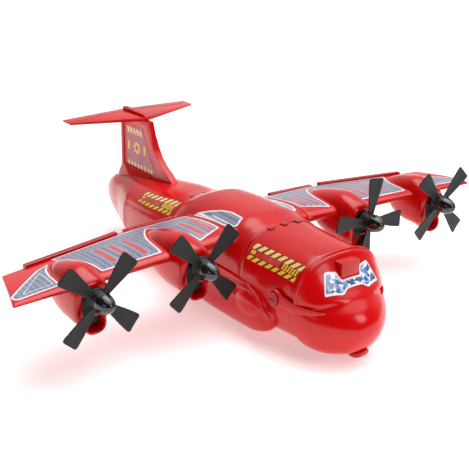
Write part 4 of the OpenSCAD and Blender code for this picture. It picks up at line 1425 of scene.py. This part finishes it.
# Wing panels: a slate film edged in white, cut round the engines, with red bars
innerCut = [(-35, 80.0), (-50, 80.6), (-62, 82.8), (-72, 86.6), (-82, 92.0), (-90, 97.5)]
outerCut = [(-33, 184.0), (-48, 184.6), (-58, 187.0), (-67, 191.5), (-74, 196.5), (-80, 202.0)]
wingSheet = [(-47, 49.5), (-35, 79.6)] + innerCut[1:] + [(-92.5, 100)] + [(x, 200 - y) for x,
    y in reversed(innerCut)][:-1]
wingSheet += [(-34.5, 121), (-31.6, 183.4)] + outerCut[1:] + [(-84.5, 203.5), (-101.5, 111), (-102.5, 49.5)]
tipSheet = [(-29, 223.6), (-25.0, 262.5), (-27.2, 266.6), (-31.5, 266.8), (-68, 225.5), (-75.5, 211.0),
            (-62, 219), (-48, 222.8)]
for side, sign in (("right", -1), ("left", 1)):
    onWing = wingOf(sign)
    sheet = anticlockwise(wingSheet)
    layers = [(roundOutline(sheet, 1.5, 3), 0.12, whiteFilm),
              (roundOutline(insetOutline(sheet, 1.7), 1.2, 3), 0.16, wingFilm)]
    for y, x0, x1 in ((57.5, -83, -47), (70.5, -83, -43), (134.5, -79, -39), (150, -78, -39.5),
                      (165, -77, -41)):
        for grow, height, film in ((1.5, 0.2, paleFilm), (0.0, 0.24, redFilm)):
            bar = [(x0 - grow, y - 2.2 - grow), (x1 + grow, y - 2.9 - grow), (x1 + grow, y + 2.9 + grow),
                   (x0 - grow, y + 2.2 + grow)]
            layers.append((roundOutline(anticlockwise(bar), 2.6, 6), height, film))
    sticker("wing_film_" + side, "airframe", onWing, layers)
    tip = anticlockwise(tipSheet)
    layers = [(roundOutline(tip, 1.2, 3), 0.12, whiteFilm), (roundOutline(insetOutline(tip, 1.7), 1.0, 3),
        0.16, wingFilm)]
    for a, b in (((-34, 228), (-61, 226)), ((-61, 226), (-31, 256)), ((-31, 256), (-34, 228))):
        a, b = Vector(a), Vector(b)
        across = Vector((-(b - a).y, (b - a).x)).normalized() * 0.3
        layers.append((anticlockwise([tuple(a + across), tuple(b + across), tuple(b - across),
                                      tuple(a - across)]), 0.2, whiteFilm))
    sticker("tip_film_" + side, "airframe", onWing, layers)
    root = anticlockwise([(-96, 43.6), (-95, 39.5), (-80.5, 33), (-70, 27.8), (-59, 24.8), (-41.8, 25.2),
                          (-38.2, 34.5), (-43, 41), (-52, 43.6)])
    sticker("root_film_" + side, "airframe", coverOf(sign),
            [(roundOutline(root, 1.5, 3), 0.12, whiteFilm), (roundOutline(insetOutline(root, 1.8), 1.2, 3),
                0.16, wingFilm)])

# Fin panels: dusty rose with stripe rows and a plain eight-pointed badge
finPanel = anticlockwise([(-284, 48.5), (-249, 50.5), (-246.5, 40), (-236.5, 19), (-224, 6.5), (-283, 0.5)])
for side, sign in (("right", -1), ("left", 1)):
    badge = [(-262 + r * math.cos(a), 26 + r * math.sin(a)) for a,
             r in ((math.pi * k / 8, 8.0 if k % 2 == 0 else 5.2) for k in range(16))]
    disc = [(-262 + 3.2 * math.cos(math.pi * k / 12), 26 + 3.2 * math.sin(math.pi * k / 12))
            for k in range(24)]
    layers = [(roundOutline(finPanel, 1.5, 3), 0.1, pinkFilm), (anticlockwise(badge), 0.15, yellowFilm),
              (anticlockwise(disc), 0.2, pinkFilm)]
    for x in (-278.5, -246.5):
        layers.append((roundOutline([(x - 1.8, 21), (x + 1.8, 21), (x + 1.8, 31), (x - 1.8, 31)], 0.8, 3),
                       0.15, yellowFilm))
    sticker("fin_film_" + side, "airframe", finOf(sign), layers)
    for low, high, x0, x1, count, label in ((40.6, 47.0, -282, -251, 5, "upper"),
                                            (1.8, 8.0, -281.5, -229, 8, "lower")):
        row = {"count": count, "pitch": (x1 - x0) / count, "width": 3.4, "tall": high - low, "lean": -0.35,
               "from": x0, "to": x1,
               "start": x0 + 3, "middle": (low + high) / 2}
        part = stripeRow(finOf(sign), lambda a, b: (a, b), row, 0.15, creamFilm)
        finishPiece(objectFrom("fin_stripes_" + label + "_" + side, *part), "airframe", [creamFilm], (),
                    50)
print("stickers ready")

# Stage, light and camera

stageLook = {"floor": "#fbfbfb", "sky": 0.76, "room": 2.15, "overhead": 5.0, "key": 3.6, "fill": 0.8,
             "glow": 0.42}
floorMesh = bpy.data.meshes.new("floor")
floorMesh.from_pydata([(-40, -40, 0), (40, -40, 0), (40, 40, 0), (-40, 40, 0)], [], [(0, 1, 2, 3)])
floor = linked("floor", floorMesh)
paper, tree, shader = blank("paper_floor")
tone = noise(tree, addNode(tree, "ShaderNodeTexCoord").outputs["Object"], 3.0, 2.0)
tree.links.new(ramp(tree, tone, [(0.3, linear("#f8f8f8")), (0.7, linear(stageLook["floor"]))]),
               shader.inputs["Base Color"])
shader.inputs["Roughness"].default_value = 0.9
shader.inputs["Emission Color"].default_value = (1.0, 0.99, 0.985, 1.0)  # a light table, so shadows stay pale
shader.inputs["Emission Strength"].default_value = stageLook["glow"]
floorMesh.materials.append(paper)

world = bpy.data.worlds.new("studio")
world.use_nodes = True
sky = world.node_tree
gaze = addNode(sky, "ShaderNodeTexCoord").outputs["Generated"]
backdrop = addNode(sky, "ShaderNodeVectorMath", {0: gaze, 1: (-0.72, 0.60, 0.35)},
                   operation="DOT_PRODUCT").outputs["Value"]
dome = ramp(sky, backdrop, [(0.0, linear("#3a3a3c")), (0.3, linear("#7c7c7e")), (0.75, linear("#fbfbfc"))])
sky.links.new(dome, sky.nodes["Background"].inputs["Color"])
sky.nodes["Background"].inputs["Strength"].default_value = stageLook["sky"]
scene.world = world


def softbox(name, spot, target, size, power):
    light = bpy.data.lights.new(name, "AREA")
    light.shape = "RECTANGLE"
    light.size, light.size_y = size
    light.energy = power
    lamp = linked(name, light)
    lamp.location = spot
    lamp.rotation_euler = (Vector(target) - Vector(spot)).to_track_quat("-Z", "Y").to_euler()
    return lamp


middle = (Vector(cadBox[0]) + Vector(cadBox[1])) / 2
sun = bpy.data.lights.new("room_light", "SUN")
sun.energy = stageLook["room"]
sun.angle = math.radians(70)
sunLamp = linked("room_light", sun)
sunLamp.rotation_euler = (Vector((0, 0, 0)) - Vector((0.1, 0.25, 1.0))).to_track_quat("-Z", "Y").to_euler()
softbox("overhead", (-0.1, 0.25, 1.2), middle, (1.0, 0.8), stageLook["overhead"])
softbox("front_key", (1.3, 0.35, 0.75), middle, (0.5, 0.4), stageLook["key"])
softbox("side_fill", (0.5, -1.3, 0.6), middle, (0.5, 0.4), stageLook["fill"])

viewLook = {"lens": 75.9, "sensor": 36.0, "azimuth": -37.968654, "elevation": 21.861035, "roll": 1.342948,
            "spot": (0.6332 + 0.109, -0.562055, 0.346687 + 0.0815)}
camData = bpy.data.cameras.new("camera")
camData.lens = viewLook["lens"]
camData.sensor_width = viewLook["sensor"]
camera = linked("camera", camData)
azimuth, elevation, roll = (math.radians(viewLook[key]) for key in ("azimuth", "elevation", "roll"))
toward = -Vector((math.cos(elevation) * math.cos(azimuth), math.cos(elevation) * math.sin(azimuth),
                  math.sin(elevation)))
right = toward.cross(Vector((0, 0, 1))).normalized()
up = right.cross(toward)
right, up = math.cos(roll) * right + math.sin(roll) * up, math.cos(roll) * up - math.sin(roll) * right
pose = Matrix((right, up, -toward)).transposed().to_4x4()
pose.translation = Vector(viewLook["spot"])
camera.matrix_world = pose
scene.camera = camera
